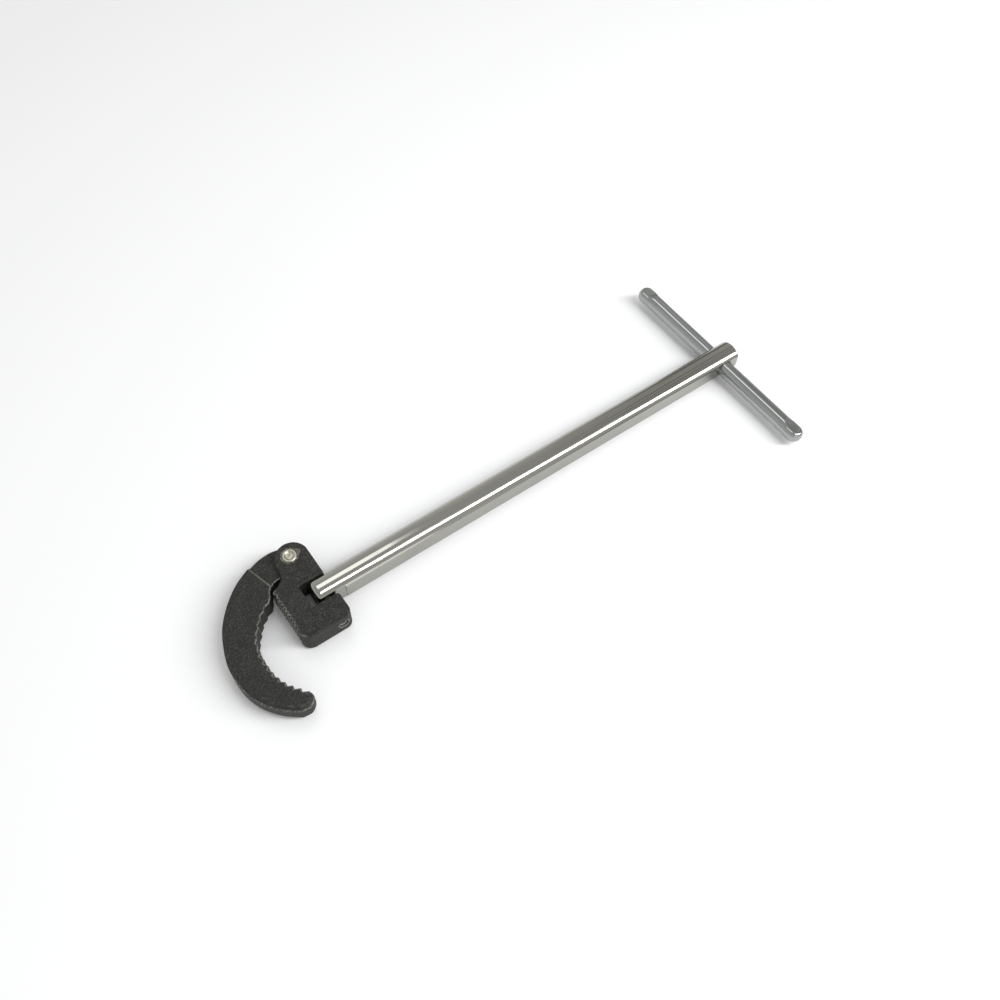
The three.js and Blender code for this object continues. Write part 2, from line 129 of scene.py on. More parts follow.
def arc(centre: tuple[float, float], radius: float, start: float, stop: float, count: int) -> Array:
    """Points of a circular arc.

    Args:
        centre: The arc's centre.
        radius: The arc's radius.
        start: The first angle, in radians.
        stop: The last angle, in radians.
        count: How many points to give, both ends included.

    Returns:
        The points, one a row.
    """
    angle = np.linspace(start, stop, count)
    return np.column_stack([centre[0] + radius * np.cos(angle), centre[1] + radius * np.sin(angle)])


def smooth_curve(points: Array, count: int) -> Array:
    """A Catmull-Rom curve through some points, sampled at even steps of its length.

    Between two neighbours p1 and p2 the curve is the cubic whose end slopes are half the distance
    between the points on either side.

    Args:
        points: The points the curve passes through.
        count: How many points to give, both ends included.

    Returns:
        The sampled curve.
    """
    padded = np.vstack([points[:1], points, points[-1:]])
    share = np.linspace(0, len(points) - 1, 40 * len(points))
    part = np.minimum(share.astype(int), len(points) - 2)
    t = (share - part)[:, None]
    p0, p1, p2, p3 = (padded[part + step] for step in range(4))
    slope1 = (p2 - p0) / 2
    slope2 = (p3 - p1) / 2
    cubic = (2 * p1 - 2 * p2 + slope1 + slope2) * t**3
    square = (-3 * p1 + 3 * p2 - 2 * slope1 - slope2) * t**2
    fine = cubic + square + slope1 * t + p1
    steps = np.r_[0, np.cumsum(np.hypot(*np.diff(fine, axis=0).T))]
    wanted = np.linspace(0, steps[-1], count)
    return np.column_stack([np.interp(wanted, steps, fine[:, 0]), np.interp(wanted, steps, fine[:, 1])])


def along(points: Array, shares: Array) -> Array:
    """Points at given shares of a polyline's length.

    Args:
        points: The polyline.
        shares: Shares of its length, 0 to 1.

    Returns:
        One point for each share.
    """
    steps = np.r_[0, np.cumsum(np.hypot(*np.diff(points, axis=0).T))]
    wanted = shares * steps[-1]
    return np.column_stack([np.interp(wanted, steps, points[:, 0]), np.interp(wanted, steps, points[:, 1])])


def serrated(crests: Array, depth: float, lean: float) -> Array:
    """A saw-tooth line: each pair of crests gets a root between them.

    Args:
        crests: The crests, in order, with the metal on the right-hand side of their travel.
        depth: How far the roots lie in the metal.
        lean: The root's share of the way from one crest to the next.

    Returns:
        Crests and roots in turn, starting and ending with a crest.
    """
    step = np.diff(crests, axis=0)
    inward = np.column_stack([step[:, 1], -step[:, 0]])
    inward /= np.linalg.norm(inward, axis=1)[:, None]
    roots = crests[:-1] + lean * step + depth * inward
    line = np.empty((2 * len(crests) - 1, 2))
    line[0::2] = crests
    line[1::2] = roots
    return line


def outline_distance(points: Array, outline: Array) -> Array:
    """Signed distance from points to a closed polygon, negative inside.

    The size is the least distance to any side. The sign comes from how many sides a ray towards +X
    crosses.

    Args:
        points: Points of the plane, one a row.
        outline: The polygon's corners.

    Returns:
        One distance for each point.
    """
    start = outline
    stop = np.roll(outline, -1, axis=0)
    side = stop - start
    length = np.maximum((side**2).sum(1), 1e-12)
    found = np.empty(len(points))
    for first in range(0, len(points), 6000):
        some = points[first : first + 6000]
        offset_x = some[:, None, 0] - start[None, :, 0]
        offset_y = some[:, None, 1] - start[None, :, 1]
        share = np.clip((offset_x * side[:, 0] + offset_y * side[:, 1]) / length, 0, 1)
        away = (offset_x - share * side[:, 0]) ** 2 + (offset_y - share * side[:, 1]) ** 2
        spans = (start[:, 1] > some[:, None, 1]) != (stop[:, 1] > some[:, None, 1])
        rise = np.where(np.abs(side[:, 1]) < 1e-12, 1e-12, side[:, 1])
        crossing = offset_x < side[:, 0] * offset_y / rise
        inside = (spans & crossing).sum(1) % 2 == 1
        found[first : first + 6000] = np.sqrt(away.min(1)) * np.where(inside, -1, 1)
    return found


def line_distance(points: Array, line: Array) -> Array:
    """Distance from points to an open polyline's corners, which are close together.

    Args:
        points: Points of the plane, one a row.
        line: The polyline's corners.

    Returns:
        One distance for each point.
    """
    found = np.empty(len(points))
    for first in range(0, len(points), 12000):
        some = points[first : first + 12000]
        away = (some[:, None, 0] - line[:, 0]) ** 2 + (some[:, None, 1] - line[:, 1]) ** 2
        found[first : first + 12000] = np.sqrt(away.min(1))
    return found


# ---------------------------------------------------------------- meshes


@dataclass(frozen=True)
class Surface:
    """A closed mesh in millimetres, with any values that its material reads.

    Attributes:
        points: Vertices, one a row.
        quads: Four vertex numbers a row. A triangle repeats its last number.
        marks: Named values, one for each vertex.
    """

    points: Array
    quads: npt.NDArray[np.int64]
    marks: dict[str, Array] = field(default_factory=dict)

    def moved(self, offset: Array) -> "Surface":
        """The same surface, shifted.

        Args:
            offset: The shift, in millimetres.

        Returns:
            The moved surface.
        """
        return Surface(self.points + offset, self.quads, self.marks)

    def build(self, name: str) -> bpy.types.Object:
        """Makes the Blender object.

        Args:
            name: The object's name.

        Returns:
            The object, at the origin, in metres.
        """
        mesh = bpy.data.meshes.new(name)
        three = self.quads[:, 2] == self.quads[:, 3]
        faces = [tuple(row[:3]) if short else tuple(row) for row, short in zip(self.quads.tolist(), three)]
        mesh.from_pydata((self.points * MM).tolist(), [], faces)
        for title, values in self.marks.items():
            layer = mesh.attributes.new(title, "FLOAT", "POINT")
            layer.data.foreach_set("value", values.astype(np.float32))
        mesh.polygons.foreach_set("use_smooth", np.ones(len(mesh.polygons), bool))
        mesh.update()
        mesh.validate()
        made = bpy.data.objects.new(name, mesh)
        bpy.context.scene.collection.objects.link(made)
        return made


def ring_surface(rings: Array) -> Surface:
    """A closed surface from a grid of rings, with a pole at each end.

    Each ring's points run the same way round. Neighbouring rings are joined by quads, and the first
    and last rings are closed to a pole at their mean.

    Args:
        rings: Points, as rings by points by 3, with the rings' outward side on the left of travel.

    Returns:
        The surface.
    """
    rows, columns, _ = rings.shape
    first = rings[0].mean(0)
    last = rings[-1].mean(0)
    points = np.vstack([rings.reshape(-1, 3), first, last])
    number = np.arange(rows * columns).reshape(rows, columns)
    across = np.roll(number, -1, axis=1)
    body = np.stack([number[:-1], across[:-1], across[1:], number[1:]], -1).reshape(-1, 4)
    low = np.full(columns, rows * columns)
    high = low + 1
    bottom = np.stack([across[0], number[0], low, low], -1)
    top = np.stack([number[-1], across[-1], high, high], -1)
    quads = np.vstack([body, bottom, top])
    volume = np.einsum("ij,ij->i", points[quads[:, 0]], np.cross(points[quads[:, 1]], points[quads[:, 2]]))
    volume += np.einsum("ij,ij->i", points[quads[:, 0]], np.cross(points[quads[:, 2]], points[quads[:, 3]]))
    if volume.sum() < 0:
        quads = quads[:, [1, 0, 3, 2]]
    return Surface(points, quads)


def turned(profile: Array, axis: Axis, sides: int) -> Surface:
    """A turned surface: the profile's radius swept round an axis.

    A point at angle a of the ring at (radius, height) stands at radius times cosine a and sine a
    across the axis, and at the height along it.

    Args:
        profile: Radius and height of each ring.
        axis: The axis turned about.
        sides: Points in a ring.

    Returns:
        The surface.
    """
    angle = np.linspace(0, 2 * np.pi, sides, endpoint=False)
    radius = np.maximum(profile[:, :1], 1e-4)
    height = np.repeat(profile[:, 1:], sides, 1)
    rings = np.stack([radius * np.cos(angle), height, radius * np.sin(angle)], -1)
    return ring_surface(rings[..., list(axis.value)])


def tube(path: Array, radius: float, sides: int) -> Surface:
    """A round wire along a path, with a ring square to the path at each of its points.

    The ring's two directions come from the path's own direction and a fixed upward one, which the
    path is never quite parallel to.

    Args:
        path: The wire's centre line.
        radius: The wire's radius.
        sides: Points in a ring.

    Returns:
        The surface.
    """
    forward = np.gradient(path, axis=0)
    forward /= np.linalg.norm(forward, axis=1)[:, None]
    side = np.cross(forward, np.array([0.02, 0.03, 1.0]))
    side /= np.linalg.norm(side, axis=1)[:, None]
    up = np.cross(side, forward)
    angle = np.linspace(0, 2 * np.pi, sides, endpoint=False)[None, :, None]
    rings = path[:, None] + radius * (np.cos(angle) * side[:, None] + np.sin(angle) * up[:, None])
    return ring_surface(rings)


# ---------------------------------------------------------------- implicit solids


def soft_max(a: Array, b: Array, width: float) -> Array:
    """The larger of two distances, blended over a width, which rounds the edge between two cuts.

    Args:
        a: Distances to one solid.
        b: Distances to the other.
        width: The blend's width.

    Returns:
        The blended distances, never less than the larger.
    """
    near = np.clip(1 - np.abs(a - b) / width, 0, 1)
    return np.maximum(a, b) + near**2 * width / 4


class ForgedSolid:
    """A forged plate given by a signed distance that a subclass states, in the head's own frame.

    The surface is found by sampling the distance on an even grid, placing one vertex in every cell
    that the surface crosses, at the mean of the crossings of its edges, and joining the four cells
    round each crossed edge. The vertices then slide along the distance's slope onto the surface.
    """

    STEP = 0.015
    PROBE = 0.6
    EDGE_GAIN = 3.5
    SETTLING_STEPS = 3

    low: Array
    high: Array

    def plan(self, flat: Array) -> tuple[Array, ...]:
        """Signed distance in plan and the edge rounding there, for points of the XY plane."""
        raise NotImplementedError

    def shape(self, points: Array, plan: tuple[Array, ...]) -> Array:
        """Signed distance of points of space, given what `plan` says of them."""
        raise NotImplementedError

    def distance(self, points: Array) -> Array:
        """Signed distance of points of space, negative inside."""
        return self.shape(points, self.plan(points[:, :2]))

    def slope(self, points: Array) -> Array:
        """The distance's slope at points of space, from differences over a short step."""
        step = self.STEP
        plan = self.plan(points[:, :2])
        parts = []
        for direction in np.eye(3):
            ahead = points + step * direction
            behind = points - step * direction
            if direction[2]:
                parts.append(self.shape(ahead, plan) - self.shape(behind, plan))
            else:
                parts.append(self.distance(ahead) - self.distance(behind))
        found = np.stack(parts, -1)
        return found / np.maximum(np.linalg.norm(found, axis=1), 1e-9)[:, None]

    def surface(self, cell: float) -> Surface:
        """The solid's surface with its marks for worn edges, their painted highlight, and painted shade in
        hollows.

        Args:
            cell: The grid's spacing.

        Returns:
            A closed surface whose marks are `edge`, 1 on outer edges, and `hollow`, 1 in inner ones.
        """
        count = np.ceil((self.high - self.low) / cell).astype(int) + 1
        lines = [self.low[i] + cell * np.arange(count[i]) for i in range(3)]
        flat = np.stack(np.meshgrid(lines[0], lines[1], indexing="ij"), -1).reshape(-1, 2)
        plan = tuple(np.repeat(values, count[2]) for values in self.plan(flat))
        points = np.stack(np.meshgrid(*lines, indexing="ij"), -1).reshape(-1, 3)
        values = self.shape(points, plan).reshape(count)
        corners, quads = cell_surface(values)
        found = self.low + cell * corners
        for _ in range(self.SETTLING_STEPS):
            slope = self.slope(found)
            reach = np.clip(self.distance(found), -cell / 2, cell / 2)
            found = found - slope * reach[:, None]
        slope = self.slope(found)
        deep = self.PROBE
        # The edge mark drives worn edges and a painted highlight in the material, and the hollow mark drives
        # painted shade.
        edge = np.clip(self.EDGE_GAIN * (self.distance(found - deep * slope) + deep) / deep, 0, 1)
        hollow = np.clip((deep - self.distance(found + deep * slope)) / deep, 0, 1)
        return Surface(found, quads, {"edge": edge, "hollow": hollow})


def cell_surface(values: Array) -> tuple[Array, npt.NDArray[np.int64]]:
    """Vertices and quads of the zero surface of a sampled field, in grid steps.

    Args:
        values: The field on the grid, negative inside.

    Returns:
        The vertices, and the quads with their outward side out.
    """
    inside = values < 0
    cells = np.array(values.shape) - 1
    total = np.zeros((*cells, 3))
    crossed = np.zeros(tuple(cells))
    for axis in range(3):
        others = [i for i in range(3) if i != axis]
        for shift in np.ndindex(2, 2):
            start = np.zeros(3, int)
            start[others] = shift
            stop = start.copy()
            stop[axis] = 1
            first = values[tuple(slice(start[i], start[i] + cells[i]) for i in range(3))]
            second = values[tuple(slice(stop[i], stop[i] + cells[i]) for i in range(3))]
            cross = (first < 0) != (second < 0)
            share = np.where(cross, first / np.where(cross, first - second, 1), 0)
            total += cross[..., None] * (start + share[..., None] * (stop - start))
            crossed += cross
    active = crossed > 0
    number = np.full(tuple(cells), -1)
    number[active] = np.arange(active.sum())
    points = np.argwhere(active) + total[active] / crossed[active][:, None]
    quads = []
    for axis in range(3):
        second, third = (axis + 1) % 3, (axis + 2) % 3
        here = [slice(None)] * 3
        there = [slice(None)] * 3
        here[axis] = slice(0, -1)
        there[axis] = slice(1, None)
        change = inside[tuple(here)] != inside[tuple(there)]
        at = np.argwhere(change)
        at = at[(at[:, second] > 0) & (at[:, third] > 0)]
        at = at[(at[:, second] < cells[second]) & (at[:, third] < cells[third])]
        back2 = np.eye(3, dtype=int)[second]
        back3 = np.eye(3, dtype=int)[third]
        ring = [at - back2 - back3, at - back3, at, at - back2]
        quad = np.stack([number[tuple(corner.T)] for corner in ring], -1)
        outward = inside[tuple(at.T)]
        quads.append(np.where(outward[:, None], quad, quad[:, ::-1]))
    return points, np.vstack(quads)


def rounded_plate(plan: Array, height: Array, half: float, rounding: Array) -> Array:
    """Signed distance of a plate whose edges are rounded.

    The plan distance and the height above the face are both drawn in by the rounding; the distance
    is that of the corner between them, less the rounding.

    Args:
        plan: Signed distance to the plate's outline.
        height: Height over the middle plane.
        half: Half the plate's thickness.
        rounding: The edges' radius.

    Returns:
        The signed distances.
    """
    out = plan + rounding
    up = np.abs(height) - half + rounding
    corner = np.hypot(np.maximum(out, 0), np.maximum(up, 0))
    return np.minimum(np.maximum(out, up), 0) + corner - rounding


# ---------------------------------------------------------------- the head


@dataclass(frozen=True)
class HeadSizes:
    """Sizes that the heel, the hook and the rivet share, measured from the cross pin's axis."""

    heel_half: float = 5.6
    heel_back: float = 4.2
    near_back: float = 4.7
    heel_face: float = 17.8
    heel_near: float = 17.5
    face_top: float = 8.4
    face_bevel: float = 0.3
    back_round: float = 3.4
    face_round: float = 4.6
    ear_round: float = 1.6
    slot_round: float = 0.6
    far_ear_round: float = 0.4
    slot_near: float = -6.15
    slot_far: float = 5.15
    slot_floor: float = -7.562
    heel_pitch: float = 1.85
    heel_depth: float = 0.95
    tooth_margin: float = 0.8
    pin_bore: float = 2.03
    pin_stop: float = 11.95
    rivet: tuple[float, float] = (-3.6, 19.8)
    rivet_bore: float = 2.26
    sink_bore: float = 3.26
    sink_top: float = 4.79
    sink_bottom: float = -4.44
    knuckle_round: float = 7.2
    knuckle_shift: float = 0.9
    knuckle_turn: float = 0.8
    waist: float = 7.8
    fork_floor: float = 13.25
    fork_half: float = 3.5
    hook_half: float = 4.5
    back_chamfer: float = 1.8
    chamfer_top: float = 4.0
    chamfer_fade: float = 20.0
    tongue_half: float = 3.2
    tongue_round: float = 6.2
    shoulder_reach: float = 14.3
    shoulder_turn: float = 0.3
    throat_gap: float = 1.1
    mouth_depth: float = 15.3
    hook_drop: float = 44.0
    hook_arm: float = 13.1
    hook_pitch: float = 3.3
    hook_depth: float = 1.3
    hook_count: int = 8
    upper_count: int = 6
    upper_depth: float = 0.75
    upper_start: float = 0.06
    pocket_bore: float = 4.15
    pocket_floor: float = -1.35
    groove_half: float = 0.7
    groove_length: float = 3.5
    leg_sweep: float = 5.3
    sweep_slope: tuple[float, float] = (0.342, 0.94)
    sweep_gap: float = 0.75
    sweep_lead: float = 0.5
    coil_radius: float = 3.45
    stud_bore: float = 0.95
    stud_middle: float = 3.5
    stud_half: float = 1.1


class Heel(ForgedSolid):
    """The fixed jaw: a forged block with a toothed face, a through slot and a forked knuckle."""

    low = np.array([-18.9, -18.3, -6.5])
    high = np.array([6.1, 27.2, 6.5])

    def __init__(self, sizes: HeadSizes) -> None:
        """Works out the heel's outline.

        Args:
            sizes: The head's sizes.
        """
        self.sizes = sizes
        self.outline = self._outline()

    def _outline(self) -> Array:
        """The heel's plan, anticlockwise from the near corner of the toothed face."""
        s = self.sizes
        face_centre = (-s.heel_face + s.face_round, -s.heel_near + s.face_round)
        face_corner = arc(face_centre, s.face_round, np.pi, 1.5 * np.pi, 14)
        back_centre = (s.near_back - s.back_round, -s.heel_near + s.back_round)
        back_corner = arc(back_centre, s.back_round, 1.5 * np.pi, 2 * np.pi, 14)
        ear = arc((s.near_back - s.ear_round, s.slot_near - s.ear_round), s.ear_round, 0, np.pi / 2, 9)
        floor_x = s.slot_floor + s.slot_round
        floor_near = arc((floor_x, s.slot_near + s.slot_round), s.slot_round, 1.5 * np.pi, np.pi, 5)
        floor_far = arc((floor_x, s.slot_far - s.slot_round), s.slot_round, np.pi, np.pi / 2, 5)
        lip = s.far_ear_round
        far_ear = arc((s.heel_back - lip, s.slot_far + lip), lip, 1.5 * np.pi, 2 * np.pi, 5)
        centre = (s.heel_back - s.knuckle_round, s.rivet[1] - s.knuckle_shift)
        knuckle = arc(centre, s.knuckle_round, 0, s.knuckle_turn * np.pi, 30)
        last = knuckle[-1]
        waist = np.array([s.rivet[0] - s.waist, s.fork_floor])
        slope = np.array(
            [
                last,
                (last + 2 * np.array([waist[0], 0]) + np.array([0, last[1] + waist[1]])) / 3,
                waist,
                [(2 * waist[0] - s.heel_face) / 3, (waist[1] + s.face_top) / 2],
                [-s.heel_face, s.face_top],
            ]
        )
        lowest = -s.heel_near + s.face_round - s.heel_pitch
        crest_y = np.arange(s.face_top - s.tooth_margin, lowest, -s.heel_pitch)
        crests = np.column_stack([np.full(len(crest_y), -s.heel_face), crest_y])
        teeth = serrated(crests[::-1], s.heel_depth, 0.5)[::-1]
        teeth = teeth[teeth[:, 1] > face_corner[0, 1] - 0.2]
        pieces = [face_corner, back_corner, ear, floor_near, floor_far, far_ear, knuckle]
        pieces += [smooth_curve(slope, 30)[1:], teeth]
        return np.vstack(pieces)

    def plan(self, flat: Array) -> tuple[Array, ...]:
        """Signed distance to the outline, and the edges' rounding, which is less along the teeth."""
        s = self.sizes
        face = np.clip((-flat[:, 0] - s.heel_face + 3) / 3, 0, 1)
        rounding = 0.65 - 0.5 * face
        return outline_distance(flat, self.outline), rounding

    def shape(self, points: Array, plan: tuple[Array, ...]) -> Array:
        """The rounded plate, less its face bevels, fork, bores and sinks."""
        s = self.sizes
        x, y, z = points.T
        found = rounded_plate(plan[0], z, s.heel_half, plan[1])
        bevel = (-x - s.heel_face + np.abs(z) - s.heel_half + s.face_bevel) / math.sqrt(2)
        found = soft_max(found, np.where(y < s.face_top + 1, bevel, -5), 0.35)
        fork = np.maximum(s.fork_floor - y, np.abs(z) - s.fork_half)
        found = soft_max(found, -fork, 0.3)
        across = np.hypot(x - s.rivet[0], y - s.rivet[1])
        found = np.maximum(found, s.rivet_bore - across)
        top_sink = np.maximum(across - s.sink_bore, s.sink_top - z)
        low_sink = np.maximum(across - s.sink_bore, z - s.sink_bottom)
        found = soft_max(found, -np.minimum(top_sink, low_sink), 0.25)
        stud = np.hypot(x - s.rivet[0] - s.coil_radius, y - s.rivet[1]) - s.stud_bore
        found = np.maximum(found, -np.maximum(stud, np.abs(z - s.stud_middle) - s.stud_half))
        pin = np.maximum(np.hypot(x, z) - s.pin_bore, y - s.pin_stop)
        return soft_max(found, -pin, 0.5)


class Hook(ForgedSolid):
    """The moving jaw: a forged hook with a thin tongue that turns in the heel's fork."""

    low = np.array([-49.4, -43.2, -5.3])
    high = np.array([4.0, 29.0, 5.3])

    CREST_SHAPE = np.array(
        [
            [0, 0], [0.111, 0.052], [0.291, 0.091], [0.49, 0.14], [0.637, 0.201], [0.788, 0.268],
            [0.905, 0.332], [0.98, 0.409], [1, 0.555], [0.967, 0.709], [0.81, 0.852],
            [0.484, 1.009],
        ]
    )
    BACK_SHAPE = np.array(
        [
            [-0.331, -0.427], [-0.144, -0.416], [0, -0.389], [0.144, -0.35], [0.352, -0.273],
            [0.585, -0.141], [0.783, 0.02], [0.901, 0.177], [1.002, 0.395], [1.002, 0.643],
            [0.905, 0.843], [0.725, 1.007], [0.5, 1.132],
        ]
    )
    TIP_SHAPE = np.array([[0.366, 1.141], [0.285, 1.111], [0.236, 1.061]])

    def __init__(self, sizes: HeadSizes) -> None:
        """Works out the hook's outline.

        Args:
            sizes: The head's sizes.
        """
        self.sizes = sizes
        self.outline, self.back = self._outline()

    def _placed(self, shares: Array, width: float) -> Array:
        """Points of the hook from their shares of a width across and of the drop."""
        s = self.sizes
        x = -s.heel_face - s.throat_gap - shares[:, 0] * width
        return np.column_stack([x, s.face_top - shares[:, 1] * s.hook_drop])

    def _outline(self) -> tuple[Array, Array]:
        """The hook's plan, anticlockwise from the tongue's round end, and its back line alone."""
        s = self.sizes
        width = s.mouth_depth + s.hook_arm
        crest_line = smooth_curve(self._placed(self.CREST_SHAPE, s.mouth_depth), 300)
        length = np.hypot(*np.diff(crest_line, axis=0).T).sum()
        lower_start = 1 - s.hook_count * s.hook_pitch / length
        upper = along(crest_line, np.linspace(s.upper_start, lower_start, s.upper_count + 1))
        lower = along(crest_line, np.linspace(lower_start, 1, s.hook_count + 1))
        teeth = np.vstack(
            [
                crest_line[:1],
                serrated(upper, s.upper_depth, 0.75)[:-1],
                serrated(lower, s.hook_depth, 0.25),
            ]
        )
        end = arc(s.rivet, s.tongue_round, -0.55 * np.pi, 0.5 * np.pi, 36)
        back = smooth_curve(np.vstack([end[-1:], self._placed(self.BACK_SHAPE, width)]), 110)[1:]
        tip = np.vstack([back[-1:], self._placed(self.TIP_SHAPE, width), teeth[-1:]])
        tip = smooth_curve(tip, 16)[1:]
        floor = s.fork_floor
        throat = smooth_curve(
            np.array(
                [
                    crest_line[0],
                    [-s.heel_face, floor - (floor - s.face_top) / 2],
                    [(s.rivet[0] - s.heel_face) / 2 - s.waist / 2, floor + 0.3],
                    [(s.rivet[0] - s.heel_face) / 2, end[0, 1]],
                ]
            ),
            24,
        )[1:]
        return np.vstack([back, tip, teeth[::-1][1:], throat, end]), np.vstack([back, tip[:8]])

    def plan(self, flat: Array) -> tuple[Array, ...]:
        """Signed distance to the outline, the edges' rounding, and the chamfer of the lower back."""
        s = self.sizes
        away = line_distance(flat, self.back)
        rounding = 0.15 + 0.5 * np.clip(1.5 - away / 5, 0, 1)
        share = np.clip((s.chamfer_top - flat[:, 1]) / s.chamfer_fade, 0, 1)
        chamfer = s.back_chamfer * share**2 * (3 - 2 * share) * np.clip(2.2 - away / 2.6, 0, 1)
        return outline_distance(flat, self.outline), rounding, chamfer

    def shape(self, points: Array, plan: tuple[Array, ...]) -> Array:
        """The rounded plate, less its tongue's thinned sides, bore, spring pocket and leg room."""
        s = self.sizes
        x, y, z = points.T
        turn = s.shoulder_turn
        from_rivet = -(x - s.rivet[0]) * math.cos(turn) - (y - s.rivet[1]) * math.sin(turn)
        thick = rounded_plate(plan[0], z, s.hook_half, plan[1])
        slant = (plan[0] + np.abs(z) - s.hook_half + plan[2]) / math.sqrt(2)
        thick = soft_max(thick, slant, 0.3)
        thin = rounded_plate(plan[0], z, s.tongue_half, np.minimum(plan[1], 0.4))
        past = s.shoulder_reach - from_rivet
        found = np.minimum(soft_max(thick, past, 0.7), thin)
        across = np.hypot(x - s.rivet[0], y - s.rivet[1])
        found = np.maximum(found, s.rivet_bore - across)
        pocket = np.maximum(across - s.pocket_bore, s.pocket_floor - z)
        groove = np.maximum(np.abs(y - s.rivet[1] - s.coil_radius) - s.groove_half, s.pocket_floor - z)
        groove = np.maximum(groove, np.maximum(x - s.rivet[0], s.rivet[0] - s.groove_length - x))
        side_x, side_y = x - s.rivet[0], y - s.rivet[1]
        behind = s.sweep_slope[0] * side_x - s.sweep_slope[1] * side_y - s.sweep_gap
        sweep = np.maximum(side_x - s.sweep_lead, behind)
        sweep = np.maximum(np.maximum(across - s.leg_sweep, s.pocket_floor - z), sweep)
        return np.maximum(found, -np.minimum(np.minimum(pocket, groove), sweep))


@dataclass(frozen=True)
class Rivet:
    """The jaw rivet, with a raised rim round the dish of its closed end.

    Heights are over the head's middle plane.
    """

    shank: float = 2.2
    head: float = 3.2
    bottom: float = -5.6
    top: float = 5.95
    depth: float = 1.1
    dish: float = 0.42
    low_round: float = 0.4
    rim_round: float = 0.5
    peen: float = 0.07

    def surface(self) -> Surface:
        """The rivet turned about Z.

        Its profile runs from the lower head's middle out round its rim, up the shank, and over the
        upper head's rim into the dish, each corner rounded by an arc.

        Returns:
            The closed surface, on the rivet's own axis.
        """
        s = self
        quarter = np.pi / 2
        low = arc((s.head - s.low_round, s.bottom + s.low_round), s.low_round, -quarter, 0, 8)
        shank = np.array(
            [
                [s.head, s.bottom + s.depth],
                [s.shank, s.bottom + s.depth],
                [s.shank, s.top - s.depth],
                [s.head, s.top - s.depth],
            ]
        )
        rim = arc((s.head - s.rim_round, s.top - s.rim_round), s.rim_round, 0, quarter, 10)
        share = np.linspace(0, 1, 24)[:, None]
        slope = (1 - np.cos(np.pi * np.clip(share * 2.4, 0, 1))) / 2
        dish = np.column_stack([(s.head - 0.75) * (1 - share), s.top - s.dish * slope])
        flat = np.array([[0.02, s.bottom], [1.2, s.bottom]])
        profile = np.vstack([flat, low, shank, rim, dish])
        made = turned(profile, Axis.Z, 96)
        x, y, z = made.points.T
        inner = np.clip(1 - np.hypot(x, y) / (s.head - 0.9), 0, 1)
        dents = np.sin(3.1 * x + 1.1) * np.cos(2.7 * y - 0.4) + 0.6 * np.sin(5.3 * y + 2.1 * x)
        peened = s.peen * inner * dents
        lifted = np.where(z > 0, z + peened, z)
        return Surface(np.column_stack([x, y, lifted]), made.quads)


@dataclass(frozen=True)
class CrossPin:
    """The rolled spring pin that the head tilts on.

    Attributes:
        near: Its near end, along Y from the shaft's middle.
        far: Its far end.
        radius: Its radius.
        wall: The rolled wall's thickness.
        gap: Radians left open in the wall, towards +X.
        chamfer: How far the wall is drawn in at each end.
    """

    near: float
    far: float
    radius: float
    wall: float = 0.7
    gap: float = 0.5
    chamfer: float = 0.2

    def surface(self) -> Surface:
        """The wall's section, a ring that runs out along the outer arc and back along the inner one.

        The section is drawn in a little at both ends for their chamfers, and each end is closed by
        quads from the outer arc to the inner.

        Returns:
            The closed surface.
        """
        count = 72
        angle = np.linspace(self.gap / 2, 2 * np.pi - self.gap / 2, count)
        middle = self.radius - self.wall / 2
        ease = self.chamfer
        rows = np.array([[self.near, ease], [self.near + ease, 0], [self.far - ease, 0], [self.far, ease]])
        thick = self.wall / 2 - rows[:, 1]
        outer = middle + thick[:, None]
        inner = middle - thick[:, None]
        cosine, sine = np.cos(angle), np.sin(angle)
        x = np.hstack([outer * cosine, (inner * cosine)[:, ::-1]])
        z = np.hstack([outer * sine, (inner * sine)[:, ::-1]])
        y = np.repeat(rows[:, :1], 2 * count, 1)
        points = np.stack([x, y, z], -1).reshape(-1, 3)
        number = np.arange(len(rows) * 2 * count).reshape(len(rows), 2 * count)
        across = np.roll(number, -1, axis=1)
        body = np.stack([number[:-1], number[1:], across[1:], across[:-1]], -1).reshape(-1, 4)
        step = np.arange(count - 1)
        cap = np.stack([step, step + 1, 2 * count - 2 - step, 2 * count - 1 - step], -1)
        last = cap[:, ::-1] + number[-1, 0]
        return Surface(points, np.vstack([body, cap, last]))


@dataclass(frozen=True)
class JawSpring:
    """The torsion coil round the rivet, in the tongue's pocket.

    Heights are over the head's middle plane.
    """

    wire: float = 0.45
    coil: float = 3.45
    turns: float = 3.25
    pitch: float = 1.05
    top: float = 2.5
    stud: float = 4.35
    leg: float = 3.0

    def surface(self) -> Surface:
        """The wire: down a leg, round a falling helix and out along a straight leg.

        Returns:
            The closed surface, on the rivet's own axis.
        """
        s = self
        rise = np.linspace(s.stud, s.top + 0.3, 6)
        stud = np.column_stack([np.full(6, s.coil), np.zeros(6), rise])
        turn = np.linspace(0.02, 1, 260) * s.turns * 2 * np.pi
        drop = s.pitch * (s.turns - 0.25) * np.linspace(0.02, 1, 260)
        coil = np.column_stack([s.coil * np.cos(turn), s.coil * np.sin(turn), s.top - drop])
        out = np.linspace(0.4, s.leg, 8)
        leg = coil[-1] + np.column_stack([-out, np.zeros(8), np.zeros(8)])
        return tube(np.vstack([stud, coil, leg]), s.wire, 14)


# ---------------------------------------------------------------- shaft and tommy bar


